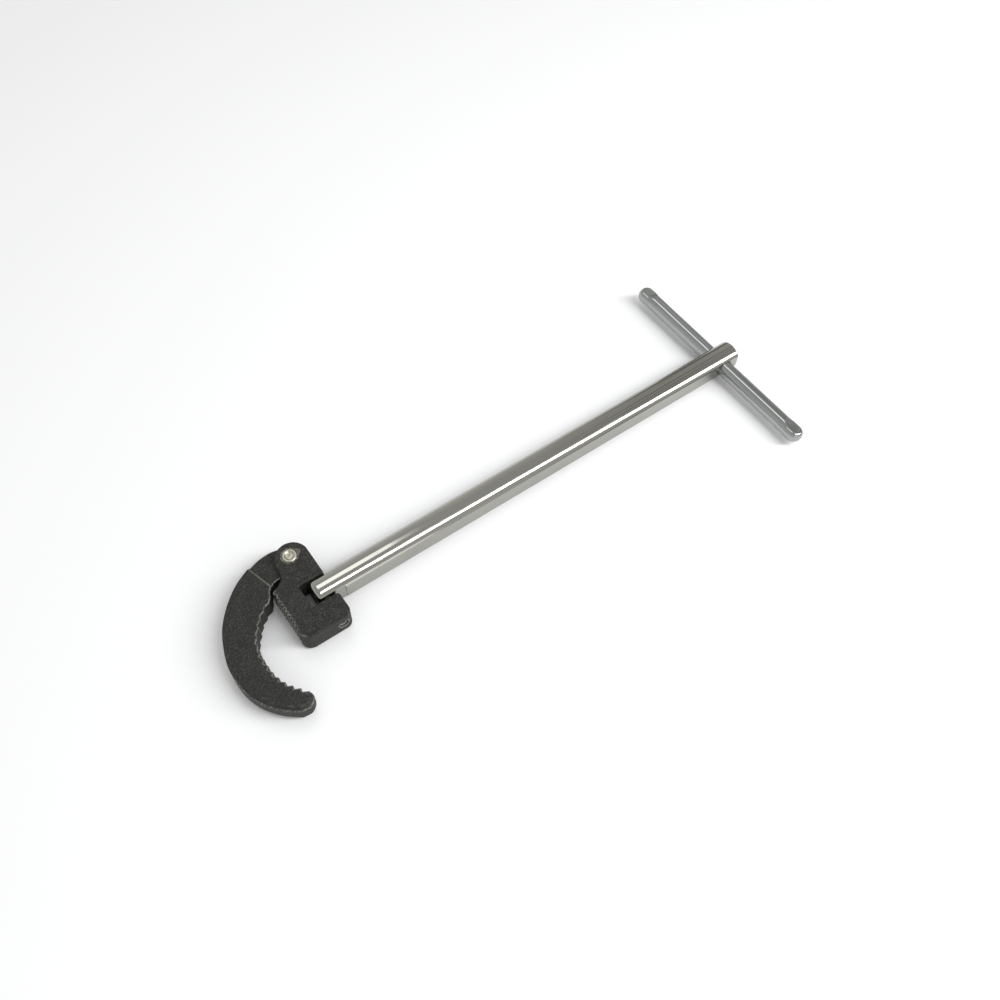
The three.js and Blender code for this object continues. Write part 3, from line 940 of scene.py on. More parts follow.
@dataclass(frozen=True)
class Shaft:
    """A round bar with two milled flats, a narrower neck, a turned nose and two cross bores.

    Attributes:
        end: The handle end's place along the shaft, from the cross pin's axis.
        bar_at: The tommy bar's place along the shaft.
    """

    end: float
    bar_at: float
    radius: float = 6.7
    half_width: float = 5.5
    neck_half: float = 4.8
    neck_end: float = 8.511
    tip: float = -4.2
    nose: float = 2.4
    chamfer: float = 0.6
    crease: float = 0.22
    pin_bore: float = 2.1
    bar_bore: float = 4.1
    countersink: float = 0.25

    def _rows(self) -> Array:
        """Place along the shaft, radius and half width of each ring."""
        s = self
        nose = arc((s.tip + s.nose, s.radius - s.nose), s.nose, np.pi, np.pi / 2, 26)
        face_radius = (s.radius - s.nose) * np.array([0.15, 0.4, 0.7, 0.9, 0.98])
        face = np.column_stack([np.full(5, s.tip), face_radius])
        step = s.neck_end
        neck = [[0, 0], [4, 0], [step - 0.4, 0], [step - 0.12, 0.02], [step - 0.03, 0.1]]
        neck += [[step, 0.3], [step, 0.6]]
        neck += [[step + 0.03, 0.85], [step + 0.12, 0.97], [step + 0.3, 1]]
        grow = np.array(neck)
        long = np.linspace(step + 2, self.end - 2, 60)
        rim = arc((self.end - s.chamfer, s.radius - s.chamfer), s.chamfer, np.pi / 2, 0, 9)
        end_radius = (s.radius - s.chamfer) * np.array([0.98, 0.8, 0.45, 0.15])
        close = np.column_stack([np.full(4, self.end), end_radius])
        turned_rows = np.vstack([face, nose])
        first = np.column_stack([turned_rows, np.full(len(turned_rows), s.neck_half)])
        half = s.neck_half + (s.half_width - s.neck_half) * grow[:, 1]
        middle = np.column_stack([grow[:, 0], np.full(len(grow), s.radius), half])
        straight = np.column_stack([long, np.full(60, s.radius), np.full(60, s.half_width)])
        last_rows = np.vstack([rim, close])
        last = np.column_stack([last_rows, np.full(len(last_rows), s.half_width)])
        return np.vstack([first, middle, straight, last])

    def surface(self) -> Surface:
        """Rings of a disc cut by two flats, joined along the shaft.

        A quarter of a ring is the arc from the top to near the crease, a short curve of second
        degree that leaves the arc and meets the flat, and the flat down to its middle.

        Returns:
            The closed surface, on the shaft's own axis, before its bores are cut. Its mark `cut` is 1
            on the face of the tip, which the material makes rough as unpolished and dark as painted shade.
        """
        s = self
        place, radius, half = self._rows().T[:, :, None]
        half = np.minimum(half, radius * 0.9995)
        corner = np.arcsin(half / radius)
        soft = np.minimum(s.crease, 0.3 * radius * np.cos(corner))
        angle = (corner - soft / radius) * np.linspace(0, 1, 30)
        angle = np.hstack([angle[:, :-1], angle[:, -1:] - 0.004, angle[:, -1:]])
        high = radius * np.cos(corner)
        arc_y, arc_z = radius * np.sin(angle), radius * np.cos(angle)
        t = np.linspace(0, 1, 7)[None, 1:]
        start_y, start_z = arc_y[:, -1:], arc_z[:, -1:]
        turn_y = (1 - t) ** 2 * start_y + 2 * t * (1 - t) * half + t**2 * half
        turn_z = (1 - t) ** 2 * start_z + 2 * t * (1 - t) * high + t**2 * (high - soft)
        down = np.r_[0.02, np.linspace(0.12, 1, 7)][None]
        flat_z = (high - soft) * (1 - down)
        flat_y = np.repeat(half, down.shape[1], 1)
        quarter_y = np.hstack([arc_y, turn_y, flat_y])
        quarter_z = np.hstack([arc_z, turn_z, flat_z])
        side_y = np.hstack([quarter_y, quarter_y[:, -2::-1]])
        side_z = np.hstack([quarter_z, -quarter_z[:, -2::-1]])
        y = np.hstack([side_y, -side_y[:, -2:0:-1]])
        z = np.hstack([side_z, side_z[:, -2:0:-1]])
        x = np.repeat(place, y.shape[1], 1)
        made = ring_surface(np.stack([x, y, z], -1))
        cut_face = (made.points[:, 0] < s.tip + 1e-6).astype(float)
        return Surface(made.points, made.quads, {"cut": cut_face})

    def cutters(self) -> list[Surface]:
        """The two bores, as turned waste with a small countersink at each flat.

        Returns:
            The waste for the bar's bore and for the pin's.
        """
        s = self
        ease = s.countersink
        made = []
        for radius, half, place in ((s.bar_bore, s.half_width, self.bar_at), (s.pin_bore, s.neck_half, 0.0)):
            profile = np.array(
                [
                    [0.02, -half - 3],
                    [radius + ease + 3, -half - 3],
                    [radius, -half + ease],
                    [radius, half - ease],
                    [radius + ease + 3, half + 3],
                    [0.02, half + 3],
                ]
            )
            made.append(turned(profile, Axis.Y, 96).moved(np.array([place, 0, 0])))
        return made


@dataclass(frozen=True)
class TommyBar:
    """A round bar whose two ends are pressed flat, which keeps it in the shaft.

    Lengths along it are from its middle.
    """

    radius: float = 4.0
    half_length: float = 57.5
    swage_length: float = 11.0
    spread: float = 1.06
    half_thickness: float = 3.2
    ramp: float = 4.0
    end_round: float = 3.9

    def surface(self) -> Surface:
        """Rings along Y, pressed towards the ends.

        A ring is a circle; where the bar is pressed its width grows by the spread and its height is
        held under the pressed thickness by a soft limit, both by a smooth step along the ramp.

        Returns:
            The closed surface, on the bar's own axis.
        """
        s = self
        quarter = np.pi / 2
        shoulder = s.radius - s.end_round
        straight = s.half_length - s.end_round
        swage = s.half_length - s.swage_length
        first = arc((shoulder, -straight), s.end_round, -quarter + 0.03, 0, 22)
        ramp = np.linspace(0, 1, 26)
        left = np.linspace(-straight, -swage - s.ramp, 16)[1:]
        press = -swage - s.ramp + s.ramp * ramp[1:]
        middle = np.linspace(-swage, swage, 40)[1:-1]
        y = np.r_[left, press]
        y = np.r_[y, middle, -y[::-1]]
        body = np.column_stack([np.full(len(y), s.radius), y])
        last = first[::-1] * np.array([1, -1])
        profile = np.vstack([first, body[:-1], last])
        angle = np.linspace(0, 2 * np.pi, 128, endpoint=False)
        radius = profile[:, :1]
        y = profile[:, 1:]
        pressed = np.clip((np.abs(y) - swage) / s.ramp, 0, 1)
        pressed = pressed**2 * (3 - 2 * pressed)
        limit = s.radius + 0.3 + (s.half_thickness - s.radius - 0.3) * pressed
        x = radius * np.cos(angle) * (1 + (s.spread - 1) * pressed)
        z = radius * np.sin(angle)
        over = soft_max(np.abs(z), limit + 0 * z, 0.7)
        z = np.sign(z) * np.minimum(np.abs(z) + limit - over, limit)
        rings = np.stack([x, np.repeat(y, 128, 1), z], -1)
        return ring_surface(rings)


# ---------------------------------------------------------------- materials


class Tree:
    """A shader node tree being written, with short ways to add and join nodes."""

    def __init__(self, tree: bpy.types.NodeTree) -> None:
        """Keeps the tree.

        Args:
            tree: The node tree to write in.
        """
        self.tree = tree

    def add(self, kind: str, values: dict | None = None, **settings: object) -> bpy.types.Node:
        """Adds a node.

        Args:
            kind: The node's type, without its ShaderNode beginning.
            values: Constants or sockets for its inputs, by name or number.
            settings: Properties of the node.

        Returns:
            The node.
        """
        node = self.tree.nodes.new("ShaderNode" + kind)
        for title, value in settings.items():
            setattr(node, title, value)
        self._fill(node, values or {})
        return node

    def _fill(self, node: bpy.types.Node, values: dict) -> None:
        """Links or sets a node's inputs, by name or number."""
        for key, value in values.items():
            if isinstance(value, bpy.types.NodeSocket):
                self.tree.links.new(value, node.inputs[key])
            else:
                node.inputs[key].default_value = value

    def group(self, shared: bpy.types.NodeTree, values: dict) -> bpy.types.Node:
        """Adds a shared group.

        Args:
            shared: The group's tree.
            values: Constants or sockets for its inputs.

        Returns:
            The group's node.
        """
        node = self.tree.nodes.new("ShaderNodeGroup")
        node.node_tree = shared
        self._fill(node, values)
        return node

    def ramp(self, factor: bpy.types.NodeSocket, low: float, high: float) -> bpy.types.NodeSocket:
        """A smooth 0 to 1 step of a value between two limits."""
        node = self.add("MapRange", {"Value": factor, "From Min": low, "From Max": high})
        node.interpolation_type = "SMOOTHSTEP"
        return node.outputs["Result"]

    def blend(self, factor: object, low: object, high: object, mode: str = "MIX") -> bpy.types.NodeSocket:
        """Two colours mixed, or multiplied."""
        node = self.tree.nodes.new("ShaderNodeMix")
        node.data_type = "RGBA"
        node.blend_type = mode
        self._fill(node, {0: factor, 6: low, 7: high})
        return node.outputs[2]

    def sum(self, operation: str, first: object, second: object) -> bpy.types.NodeSocket:
        """One arithmetic step on two values."""
        node = self.add("Math", {0: first, 1: second}, operation=operation)
        return node.outputs[0]


def shared_group(title: str, inputs: dict[str, float | tuple], outputs: dict[str, str]) -> bpy.types.NodeTree:
    """An empty shader group with its sockets.

    Args:
        title: The group's name.
        inputs: Socket names with their starting values. A triple makes a vector socket.
        outputs: Socket names with their socket types.

    Returns:
        The group's tree.
    """
    made = bpy.data.node_groups.new(title, "ShaderNodeTree")
    for name, value in inputs.items():
        kind = "NodeSocketVector" if isinstance(value, tuple) else "NodeSocketFloat"
        socket = made.interface.new_socket(name, in_out="INPUT", socket_type=kind)
        socket.default_value = value
    for name, kind in outputs.items():
        made.interface.new_socket(name, in_out="OUTPUT", socket_type=kind)
    return made


class SharedEffects:
    """The node groups that several finishes use."""

    def __init__(self) -> None:
        """Makes the groups."""
        self.grain = self._grain()
        self.scuffs = self._scuffs()
        self.rubbed_and_highlit = self._rubbed()

    def _grain(self) -> bpy.types.NodeTree:
        """A forged or cast skin: fine pits over a broader mottle, as a height and two masks."""
        made = shared_group(
            "forged_grain",
            {"Place": (0.0, 0.0, 0.0), "Fine": 2200.0, "Broad": 260.0},
            {"Height": "NodeSocketFloat", "Speckle": "NodeSocketFloat", "Mottle": "NodeSocketFloat"},
        )
        tree = Tree(made)
        enter = made.nodes.new("NodeGroupInput")
        leave = made.nodes.new("NodeGroupOutput")
        place = enter.outputs["Place"]
        fine = tree.add(
            "TexNoise", {"Vector": place, "Scale": enter.outputs["Fine"], "Detail": 3.0, "Roughness": 0.62}
        )
        broad = tree.add(
            "TexNoise", {"Vector": place, "Scale": enter.outputs["Broad"], "Detail": 4.0, "Roughness": 0.55}
        )
        pits = tree.add("TexVoronoi", {"Vector": place, "Scale": enter.outputs["Fine"]}, feature="F1")
        speckle = tree.ramp(fine.outputs[0], 0.5, 0.72)
        dips = tree.ramp(pits.outputs["Distance"], 0.05, 0.5)
        height = tree.sum("ADD", tree.sum("MULTIPLY", fine.outputs[0], 0.6), tree.sum("MULTIPLY", dips, 0.25))
        height = tree.sum("ADD", height, tree.sum("MULTIPLY", broad.outputs[0], 0.5))
        made.links.new(height, leave.inputs["Height"])
        made.links.new(speckle, leave.inputs["Speckle"])
        made.links.new(tree.ramp(broad.outputs[0], 0.35, 0.68), leave.inputs["Mottle"])
        return made

    def _scuffs(self) -> bpy.types.NodeTree:
        """Handling marks on plate: long fine scratches along X, and faint smears."""
        made = shared_group(
            "plate_scuffs",
            {"Place": (0.0, 0.0, 0.0), "Stretch": (18.0, 2600.0, 2600.0), "Amount": 1.0},
            {"Scratch": "NodeSocketFloat", "Smear": "NodeSocketFloat"},
        )
        tree = Tree(made)
        enter = made.nodes.new("NodeGroupInput")
        leave = made.nodes.new("NodeGroupOutput")
        place = enter.outputs["Place"]
        drawn = tree.add("VectorMath", {0: place, 1: enter.outputs["Stretch"]}, operation="MULTIPLY")
        lines = tree.add("TexNoise", {"Vector": drawn.outputs[0], "Scale": 1.0, "Detail": 2.0})
        smears = tree.add("TexNoise", {"Vector": place, "Scale": 55.0, "Detail": 5.0, "Roughness": 0.6})
        scratch = tree.sum("MULTIPLY", tree.ramp(lines.outputs[0], 0.56, 0.74), enter.outputs["Amount"])
        smear = tree.sum("MULTIPLY", tree.ramp(smears.outputs[0], 0.42, 0.7), enter.outputs["Amount"])
        made.links.new(scratch, leave.inputs["Scratch"])
        made.links.new(smear, leave.inputs["Smear"])
        return made

    def _rubbed(self) -> bpy.types.NodeTree:
        """Worn edges and a painted edge highlight: the piece's own edge mark, broken up by noise."""
        made = shared_group(
            "worn_and_highlit_edges",
            {"Place": (0.0, 0.0, 0.0), "Edge": 0.0, "Scale": 900.0, "Start": 0.3, "Full": 0.8},
            {"Wear_and_highlight": "NodeSocketFloat"},
        )
        tree = Tree(made)
        enter = made.nodes.new("NodeGroupInput")
        leave = made.nodes.new("NodeGroupOutput")
        noise = tree.add(
            "TexNoise", {"Vector": enter.outputs["Place"], "Scale": enter.outputs["Scale"], "Detail": 3.0}
        )
        broken = tree.sum("ADD", enter.outputs["Edge"], tree.sum("SUBTRACT", noise.outputs[0], 0.5))
        limits = {"From Min": enter.outputs["Start"], "From Max": enter.outputs["Full"]}
        node = tree.add("MapRange", {"Value": broken, **limits})
        node.interpolation_type = "SMOOTHSTEP"
        made.links.new(node.outputs["Result"], leave.inputs["Wear_and_highlight"])
        return made


Colour = tuple[float, float, float, float]


def started(title: str) -> tuple[bpy.types.Material, Tree, bpy.types.NodeSocket]:
    """A new material with object coordinates and an unlinked Principled BSDF.

    Args:
        title: The material's name.

    Returns:
        The material, its tree, and the socket of the object coordinates.
    """
    made = bpy.data.materials.new(title)
    made.use_nodes = True
    tree = Tree(made.node_tree)
    return made, tree, tree.add("TexCoord").outputs["Object"]


@dataclass(frozen=True)
class BlackOxide:
    """Black oxide on a forging: near-black and speckled, lighter on its edges as worn metal and as a painted
    highlight, and darker in its hollows as painted shade.
    """

    thin: Colour = (0.008, 0.008, 0.007, 1)
    thick: Colour = (0.016, 0.016, 0.0142, 1)
    fleck: Colour = (0.060, 0.059, 0.053, 1)
    # Colour of worn edges, also used as a painted highlight along them.
    bare_and_painted_light: Colour = (0.17, 0.165, 0.15, 1)
    # Painted shade for the hollows.
    hollow_shade: Colour = (0.004, 0.004, 0.0035, 1)
    grit_dark: Colour = (0.25, 0.25, 0.25, 1)
    grit_light: Colour = (2.2, 2.2, 2.17, 1)

    def material(self, shared: SharedEffects) -> bpy.types.Material:
        """The finish's material."""
        made, tree, place = started("black_oxide")
        link = made.node_tree.links.new
        shader = made.node_tree.nodes["Principled BSDF"]
        grain = tree.group(shared.grain, {"Place": place, "Fine": 1900.0, "Broad": 230.0})
        edge = tree.add("Attribute", attribute_name="edge").outputs["Fac"]
        hollow = tree.add("Attribute", attribute_name="hollow").outputs["Fac"]
        limits = {"Place": place, "Edge": edge, "Scale": 1100.0, "Start": 0.12, "Full": 1.1}
        wear_and_highlight = tree.group(shared.rubbed_and_highlit, limits).outputs["Wear_and_highlight"]
        skin = tree.blend(grain.outputs["Mottle"], self.thin, self.thick)
        flecks = tree.sum("MULTIPLY", grain.outputs["Speckle"], 0.6)
        flecked = tree.blend(flecks, skin, self.fleck)
        # Worn edges lighten towards the metal under the oxide, and the same lighter line paints a highlight
        # along the edges.
        rubbed_and_highlit = tree.blend(tree.sum("MULTIPLY", wear_and_highlight, 0.55), flecked, self.bare_and_painted_light)
        # Painted shade: the colour darkens in the hollows, where shade falls.
        hollow_shaded = tree.blend(tree.sum("MULTIPLY", hollow, 0.5), rubbed_and_highlit, self.hollow_shade)
        fine = tree.add("TexNoise", {"Vector": place, "Scale": 1250.0, "Detail": 4.0, "Roughness": 0.7})
        grit = tree.blend(tree.ramp(fine.outputs[0], 0.34, 0.66), self.grit_dark, self.grit_light)
        link(tree.blend(1.0, hollow_shaded, grit, "MULTIPLY"), shader.inputs["Base Color"])
        rough = tree.sum("SUBTRACT", 0.62, tree.sum("MULTIPLY", wear_and_highlight, 0.2))
        rough = tree.sum("ADD", rough, tree.sum("MULTIPLY", grain.outputs["Mottle"], 0.08))
        link(rough, shader.inputs["Roughness"])
        shader.inputs["Metallic"].default_value = 0.0
        shader.inputs["Specular IOR Level"].default_value = 0.42
        bump = tree.add("Bump", {"Height": grain.outputs["Height"], "Strength": 0.6, "Distance": 0.00028})
        link(bump.outputs["Normal"], shader.inputs["Normal"])
        return made


@dataclass(frozen=True)
class Chrome:
    """Chrome plate with faint polishing lines along the piece, and smears.

    Attributes:
        title: The material's name.
        stretch: The scratch pattern's scale along each axis, least along the piece.
        tint: The plate's colour.
        bare_and_painted_light: The colour of the tip's cut face: unplated steel, darkened as painted shade.
        smeared: The share of the tint that a smear leaves.
    """

    title: str
    stretch: tuple[float, float, float]
    tint: Colour
    # The cut face's colour, darkened as painted shade.
    bare_and_painted_light: Colour = (0.02, 0.02, 0.019, 1)
    smeared: float = 0.86

    def material(self, shared: SharedEffects) -> bpy.types.Material:
        """The finish's material."""
        made, tree, place = started(self.title)
        link = made.node_tree.links.new
        shader = made.node_tree.nodes["Principled BSDF"]
        scuffs = tree.group(shared.scuffs, {"Place": place, "Stretch": self.stretch, "Amount": 1.0})
        scratch = scuffs.outputs["Scratch"]
        smear = scuffs.outputs["Smear"]
        dulled = tuple(self.smeared * part for part in self.tint[:3]) + (1,)
        cut_face = tree.add("Attribute", attribute_name="cut").outputs["Fac"]
        plated = tree.blend(tree.sum("MULTIPLY", smear, 0.35), self.tint, dulled)
        # The tip's cut face is rough unplated steel, and its dark colour is painted shade.
        link(tree.blend(cut_face, plated, self.bare_and_painted_light), shader.inputs["Base Color"])
        rough = tree.sum("ADD", 0.09, tree.sum("MULTIPLY", scratch, 0.1))
        rough = tree.sum("ADD", rough, tree.sum("MULTIPLY", cut_face, 0.45))
        rough = tree.sum("ADD", rough, tree.sum("MULTIPLY", smear, 0.05))
        link(rough, shader.inputs["Roughness"])
        shader.inputs["Metallic"].default_value = 1.0
        bump = tree.add("Bump", {"Height": scratch, "Strength": 0.06, "Distance": 0.00002})
        link(bump.outputs["Normal"], shader.inputs["Normal"])
        return made


@dataclass(frozen=True)
class PlainMetal:
    """Plated or bare metal with a faint mottle.

    Attributes:
        title: The material's name.
        tint: The metal's colour.
        rough: Its least roughness.
        mottle: How much of the darker colour the mottle brings in.
        darker: The share of the tint in that colour.
    """

    title: str
    tint: Colour
    rough: float
    mottle: float
    darker: float = 0.62

    def material(self, shared: SharedEffects) -> bpy.types.Material:
        """The finish's material."""
        made, tree, place = started(self.title)
        link = made.node_tree.links.new
        shader = made.node_tree.nodes["Principled BSDF"]
        grain = tree.group(shared.grain, {"Place": place, "Fine": 2600.0, "Broad": 700.0})
        dark = tuple(self.darker * part for part in self.tint[:3]) + (1,)
        share = tree.sum("MULTIPLY", grain.outputs["Mottle"], self.mottle)
        link(tree.blend(share, self.tint, dark), shader.inputs["Base Color"])
        coarse = tree.sum("MULTIPLY", grain.outputs["Speckle"], 0.12)
        link(tree.sum("ADD", self.rough, coarse), shader.inputs["Roughness"])
        shader.inputs["Metallic"].default_value = 1.0
        bump = tree.add("Bump", {"Height": grain.outputs["Height"], "Strength": 0.12, "Distance": 0.0001})
        link(bump.outputs["Normal"], shader.inputs["Normal"])
        return made


class Finishes:
    """The wrench's finishes, as materials."""

    def __init__(self, shared: SharedEffects) -> None:
        """Makes every material.

        Args:
            shared: The shared node groups.
        """
        along_x = (18.0, 2600.0, 2600.0)
        along_y = (2600.0, 18.0, 2600.0)
        self.black_oxide = BlackOxide().material(shared)
        self.shaft_chrome = Chrome("shaft_chrome", along_x, (0.365, 0.362, 0.335, 1)).material(shared)
        self.bar_chrome = Chrome("bar_chrome", along_y, (0.36, 0.37, 0.37, 1)).material(shared)
        self.nickel = PlainMetal("nickel", (0.50, 0.475, 0.40, 1), 0.34, 0.55).material(shared)
        self.spring_steel = PlainMetal("spring_steel", (0.42, 0.42, 0.42, 1), 0.36, 0.2).material(shared)


# ---------------------------------------------------------------- assembly


@dataclass(frozen=True)
class Piece:
    """One visible piece and what it stands for.

    Attributes:
        name: The object's name.
        node: The CAD node that it replaces.
        body: The body that it rides on.
    """

    name: str
    node: str
    body: Body

    def dress(self, made: bpy.types.Object, finish: bpy.types.Material) -> bpy.types.Object:
        """Gives the object its finish and ties it to the frame.

        Args:
            made: The object.
            finish: Its material.

        Returns:
            The object.
        """
        made.data.materials.append(finish)
        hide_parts(self.node)
        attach(made, self.body.value)
        LOG.info("%s: %d faces, on %s", self.name, len(made.data.polygons), self.body.value)
        return made


def cut(made: bpy.types.Object, waste: list[Surface]) -> None:
    """Cuts solids out of an object's mesh.

    Args:
        made: The object, whose mesh is replaced.
        waste: The solids to take away.
    """
    for number, surface in enumerate(waste):
        tool = surface.build(f"waste_{number}")
        modifier = made.modifiers.new("cut", "BOOLEAN")
        modifier.operation = "DIFFERENCE"
        modifier.solver = "EXACT"
        modifier.object = tool
        graph = bpy.context.evaluated_depsgraph_get()
        mesh = bpy.data.meshes.new_from_object(made.evaluated_get(graph))
        made.modifiers.clear()
        made.data = mesh
        bpy.data.objects.remove(tool)
    made.data.set_sharp_from_angle(angle=math.radians(32))


class Head:
    """The heel, hook, rivet, spring and cross pin."""

    def __init__(self, datums: Datums, finishes: Finishes, cell: float) -> None:
        """Keeps what the head is built from.

        Args:
            datums: Places in the row frame.
            finishes: The finishes.
            cell: Grid spacing of the forged pieces.
        """
        self.datums = datums
        self.finishes = finishes
        self.cell = cell
        self.sizes = HeadSizes()

    def build(self) -> None:
        """Makes and dresses the head's pieces."""
        pin = self.datums.pin
        rivet = pin + np.array([*self.sizes.rivet, 0])
        oxide = self.finishes.black_oxide
        heel = Heel(self.sizes).surface(self.cell).moved(pin)
        Piece("heel_forging", "heel_jaw", Body.HEAD).dress(heel.build("heel_forging"), oxide)
        hook = Hook(self.sizes).surface(self.cell).moved(pin)
        Piece("hook_forging", "hook_jaw", Body.JAW).dress(hook.build("hook_forging"), oxide)
        made = Rivet().surface().moved(rivet).build("rivet_turned")
        made.data.set_sharp_from_angle(angle=math.radians(50))
        Piece("rivet_turned", "jaw_rivet", Body.HEAD).dress(made, self.finishes.nickel)
        made = JawSpring().surface().moved(rivet).build("spring_wire")
        Piece("spring_wire", "jaw_spring", Body.HEAD).dress(made, self.finishes.spring_steel)
        pin_low, pin_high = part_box("head_pivot_pin")
        roll = CrossPin(pin_low.y / MM - pin[1], pin_high.y / MM - pin[1], PIN_RADIUS).surface().moved(pin)
        made = roll.build("cross_pin_roll")
        made.data.set_sharp_from_angle(angle=math.radians(40))
        Piece("cross_pin_roll", "head_pivot_pin", Body.HEAD).dress(made, self.finishes.spring_steel)


class Handle:
    """The shaft and its tommy bar."""

    def __init__(self, datums: Datums, finishes: Finishes) -> None:
        """Keeps what the handle is built from.

        Args:
            datums: Places in the row frame.
            finishes: The finishes.
        """
        self.datums = datums
        self.finishes = finishes

    def build(self) -> None:
        """Makes and dresses the shaft and the bar."""
        pin = self.datums.pin
        shaft = Shaft(self.datums.end - pin[0], self.datums.bar[0] - pin[0])
        made = shaft.surface().moved(pin).build("shaft_milled")
        cut(made, [waste.moved(pin) for waste in shaft.cutters()])
        Piece("shaft_milled", "shaft", Body.SHAFT).dress(made, self.finishes.shaft_chrome)
        bar = TommyBar().surface().moved(self.datums.bar).build("tommy_bar_pressed")
        Piece("tommy_bar_pressed", "tommy_bar", Body.BAR).dress(bar, self.finishes.bar_chrome)


# ---------------------------------------------------------------- studio


@dataclass(frozen=True)
class Viewpoint:
    """A camera's place and lens, in metres and degrees."""

    place: tuple[float, float, float]
    heading: float
    elevation: float
    roll: float
    lens: float


@dataclass(frozen=True)
class SoftLight:
    """A rectangular light aimed at a point, in metres and watts, its first side along a direction."""

    name: str
    place: tuple[float, float, float]
    target: tuple[float, float, float]
    size: tuple[float, float]
    power: float
    along: tuple[float, float, float]
    colour: tuple[float, float, float] = (1.0, 1.0, 1.0)


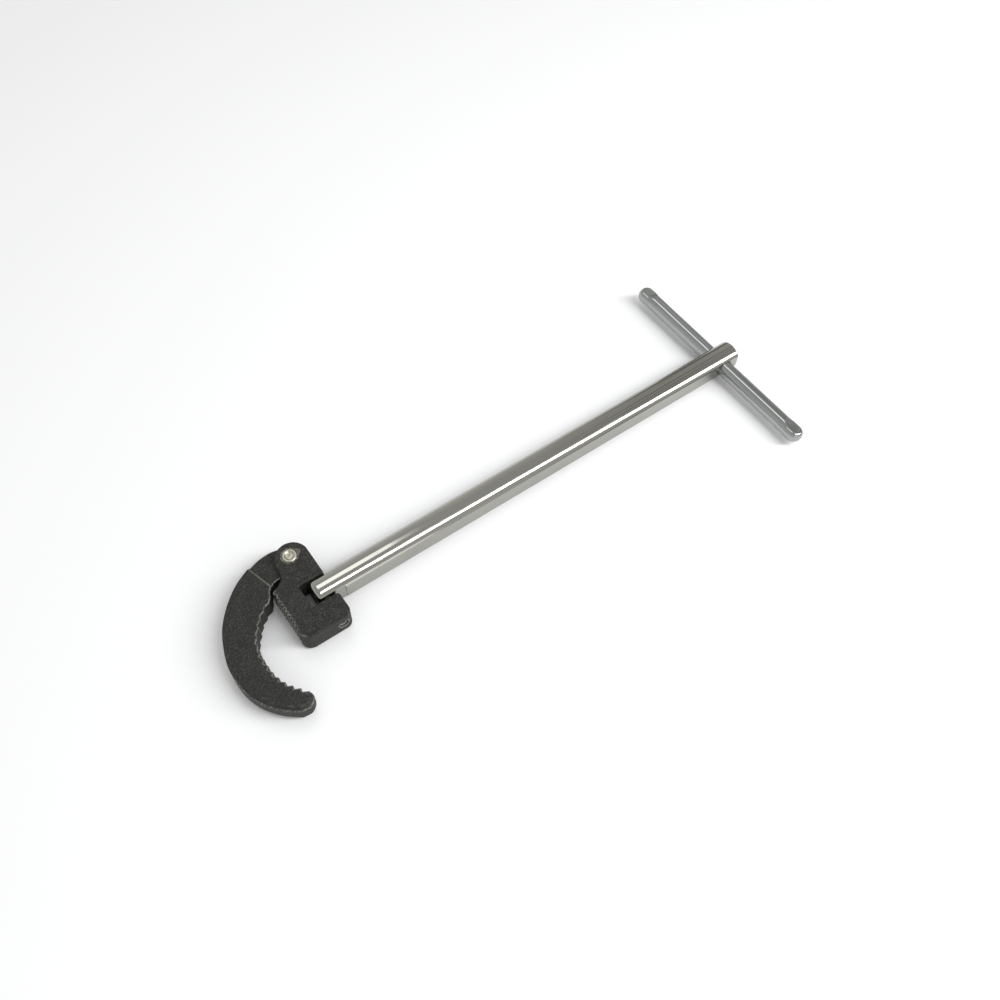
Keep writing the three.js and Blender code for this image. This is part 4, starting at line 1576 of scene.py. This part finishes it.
class Studio:
    """The floor, the soft lights and the camera."""

    VIEW = Viewpoint((-0.14871, -0.1811, 0.36537), 39.28, 57.62, 4.037, 34.39)
    LIGHTS = (
        SoftLight("long_key", (0.42, -0.52, 0.74), (0.0, 0.0, 0.0), (1.0, 0.18), 7.6, (0.85, -0.25, -0.47)),
        SoftLight("cross_strip", (0.07, 0.38, 0.93), (0.1, 0.0, 0.0), (0.5, 0.22), 0.7, (0.0, 1.0, -0.4)),
        SoftLight("near_fill", (-0.1, -1.0, 0.36), (-0.1, 0.0, 0.0), (0.7, 0.3), 0.6, (1.0, 0.0, 0.0)),
    )

    def build(self) -> None:
        """Makes the stage."""
        self._floor()
        for light in self.LIGHTS:
            self._light(light)
        self._camera()
        self._world()

    def _floor(self) -> None:
        """A wide pale floor under the wrench."""
        bottom = CAD_BOUNDS[0].z
        half = 40.0
        corners = [(-half, -half, bottom), (half, -half, bottom), (half, half, bottom), (-half, half, bottom)]
        mesh = bpy.data.meshes.new("floor")
        mesh.from_pydata(corners, [], [(0, 1, 2, 3)])
        floor = bpy.data.objects.new("floor", mesh)
        bpy.context.scene.collection.objects.link(floor)
        made = bpy.data.materials.new("pale_floor")
        made.use_nodes = True
        tree = Tree(made.node_tree)
        shader = made.node_tree.nodes["Principled BSDF"]
        place = tree.add("TexCoord").outputs["Object"]
        noise = tree.add("TexNoise", {"Vector": place, "Scale": 3.0, "Detail": 2.0})
        colour = tree.blend(noise.outputs[0], (0.92, 0.925, 0.94, 1), (0.93, 0.935, 0.95, 1))
        made.node_tree.links.new(colour, shader.inputs["Base Color"])
        shader.inputs["Roughness"].default_value = 0.9
        shader.inputs["Specular IOR Level"].default_value = 0.1
        mesh.materials.append(made)

    def _light(self, light: SoftLight) -> None:
        """One rectangular light."""
        data = bpy.data.lights.new(light.name, "AREA")
        data.shape = "RECTANGLE"
        data.size, data.size_y = light.size
        data.energy = light.power
        data.color = light.colour
        made = bpy.data.objects.new(light.name, data)
        back = (Vector(light.place) - Vector(light.target)).normalized()
        first = Vector(light.along)
        first = (first - back * first.dot(back)).normalized()
        rows = Matrix((first, back.cross(first), back)).transposed()
        made.matrix_world = Matrix.Translation(light.place) @ rows.to_4x4()
        bpy.context.scene.collection.objects.link(made)

    def _camera(self) -> None:
        """The camera, from its place, heading, elevation and roll."""
        view = self.VIEW
        heading, elevation, roll = (math.radians(a) for a in (view.heading, view.elevation, view.roll))
        forward = Vector(
            (
                math.cos(elevation) * math.sin(heading),
                math.cos(elevation) * math.cos(heading),
                -math.sin(elevation),
            )
        )
        right = Vector((math.cos(heading), -math.sin(heading), 0))
        up = right.cross(forward)
        turned_right = right * math.cos(roll) + up * math.sin(roll)
        turned_up = up * math.cos(roll) - right * math.sin(roll)
        data = bpy.data.cameras.new("view")
        data.lens = view.lens
        data.sensor_width = 36
        data.clip_start = 0.01
        camera = bpy.data.objects.new("view", data)
        rows = Matrix((turned_right, turned_up, -forward)).transposed()
        camera.matrix_world = Matrix.Translation(view.place) @ rows.to_4x4()
        bpy.context.scene.collection.objects.link(camera)
        bpy.context.scene.camera = camera

    def _world(self) -> None:
        """A dim room: lighter low down, with soft streaks and a dark wall beyond the handle.

        Its brightness falls with height. Streaks are noise across the room's length, and grow
        towards +X. The dark wall is a low band on the +X side. What the camera sees of it is plain.
        """
        world = bpy.data.worlds.new("surround")
        world.use_nodes = True
        tree = Tree(world.node_tree)
        back = world.node_tree.nodes["Background"]
        way = tree.add("TexCoord").outputs["Generated"]
        parts = tree.add("SeparateXYZ", {0: way}).outputs
        height = tree.ramp(parts[2], 0.0, 0.9)
        base = tree.blend(height, (0.84, 0.835, 0.815, 1), (0.60, 0.60, 0.585, 1))
        across = tree.add("VectorMath", {0: way, 1: (0.35, 5.5, 5.5)}, operation="MULTIPLY")
        noise = tree.add("TexNoise", {"Vector": across.outputs[0], "Scale": 1.0, "Detail": 3.0})
        streak = tree.ramp(noise.outputs[0], 0.44, 0.6)
        far = tree.ramp(parts[0], 0.3, 0.6)
        base = tree.blend(tree.sum("MULTIPLY", streak, far), base, (0.30, 0.298, 0.28, 1))
        low = tree.sum("SUBTRACT", 1.0, tree.ramp(tree.sum("ABSOLUTE", parts[2], 0.0), 0.1, 0.24))
        wall = tree.sum("MULTIPLY", low, tree.ramp(parts[0], 0.45, 0.62))
        room = tree.blend(wall, base, (0.012, 0.012, 0.011, 1))
        seen = tree.add("LightPath").outputs["Is Camera Ray"]
        colour = tree.blend(seen, room, (1.0, 1.0, 1.0, 1))
        world.node_tree.links.new(colour, back.inputs["Color"])
        back.inputs["Strength"].default_value = 1.0
        bpy.context.scene.world = world
        bpy.context.scene.view_settings.view_transform = "Standard"


def main() -> None:
    """Builds the wrench and its studio."""
    logging.basicConfig(level=logging.INFO, format="%(message)s")
    datums = Datums.from_frame()
    finishes = Finishes(SharedEffects())
    Handle(datums, finishes).build()
    Head(datums, finishes, cell=0.25).build()
    Studio().build()


if __name__ == "__main__":
    main()
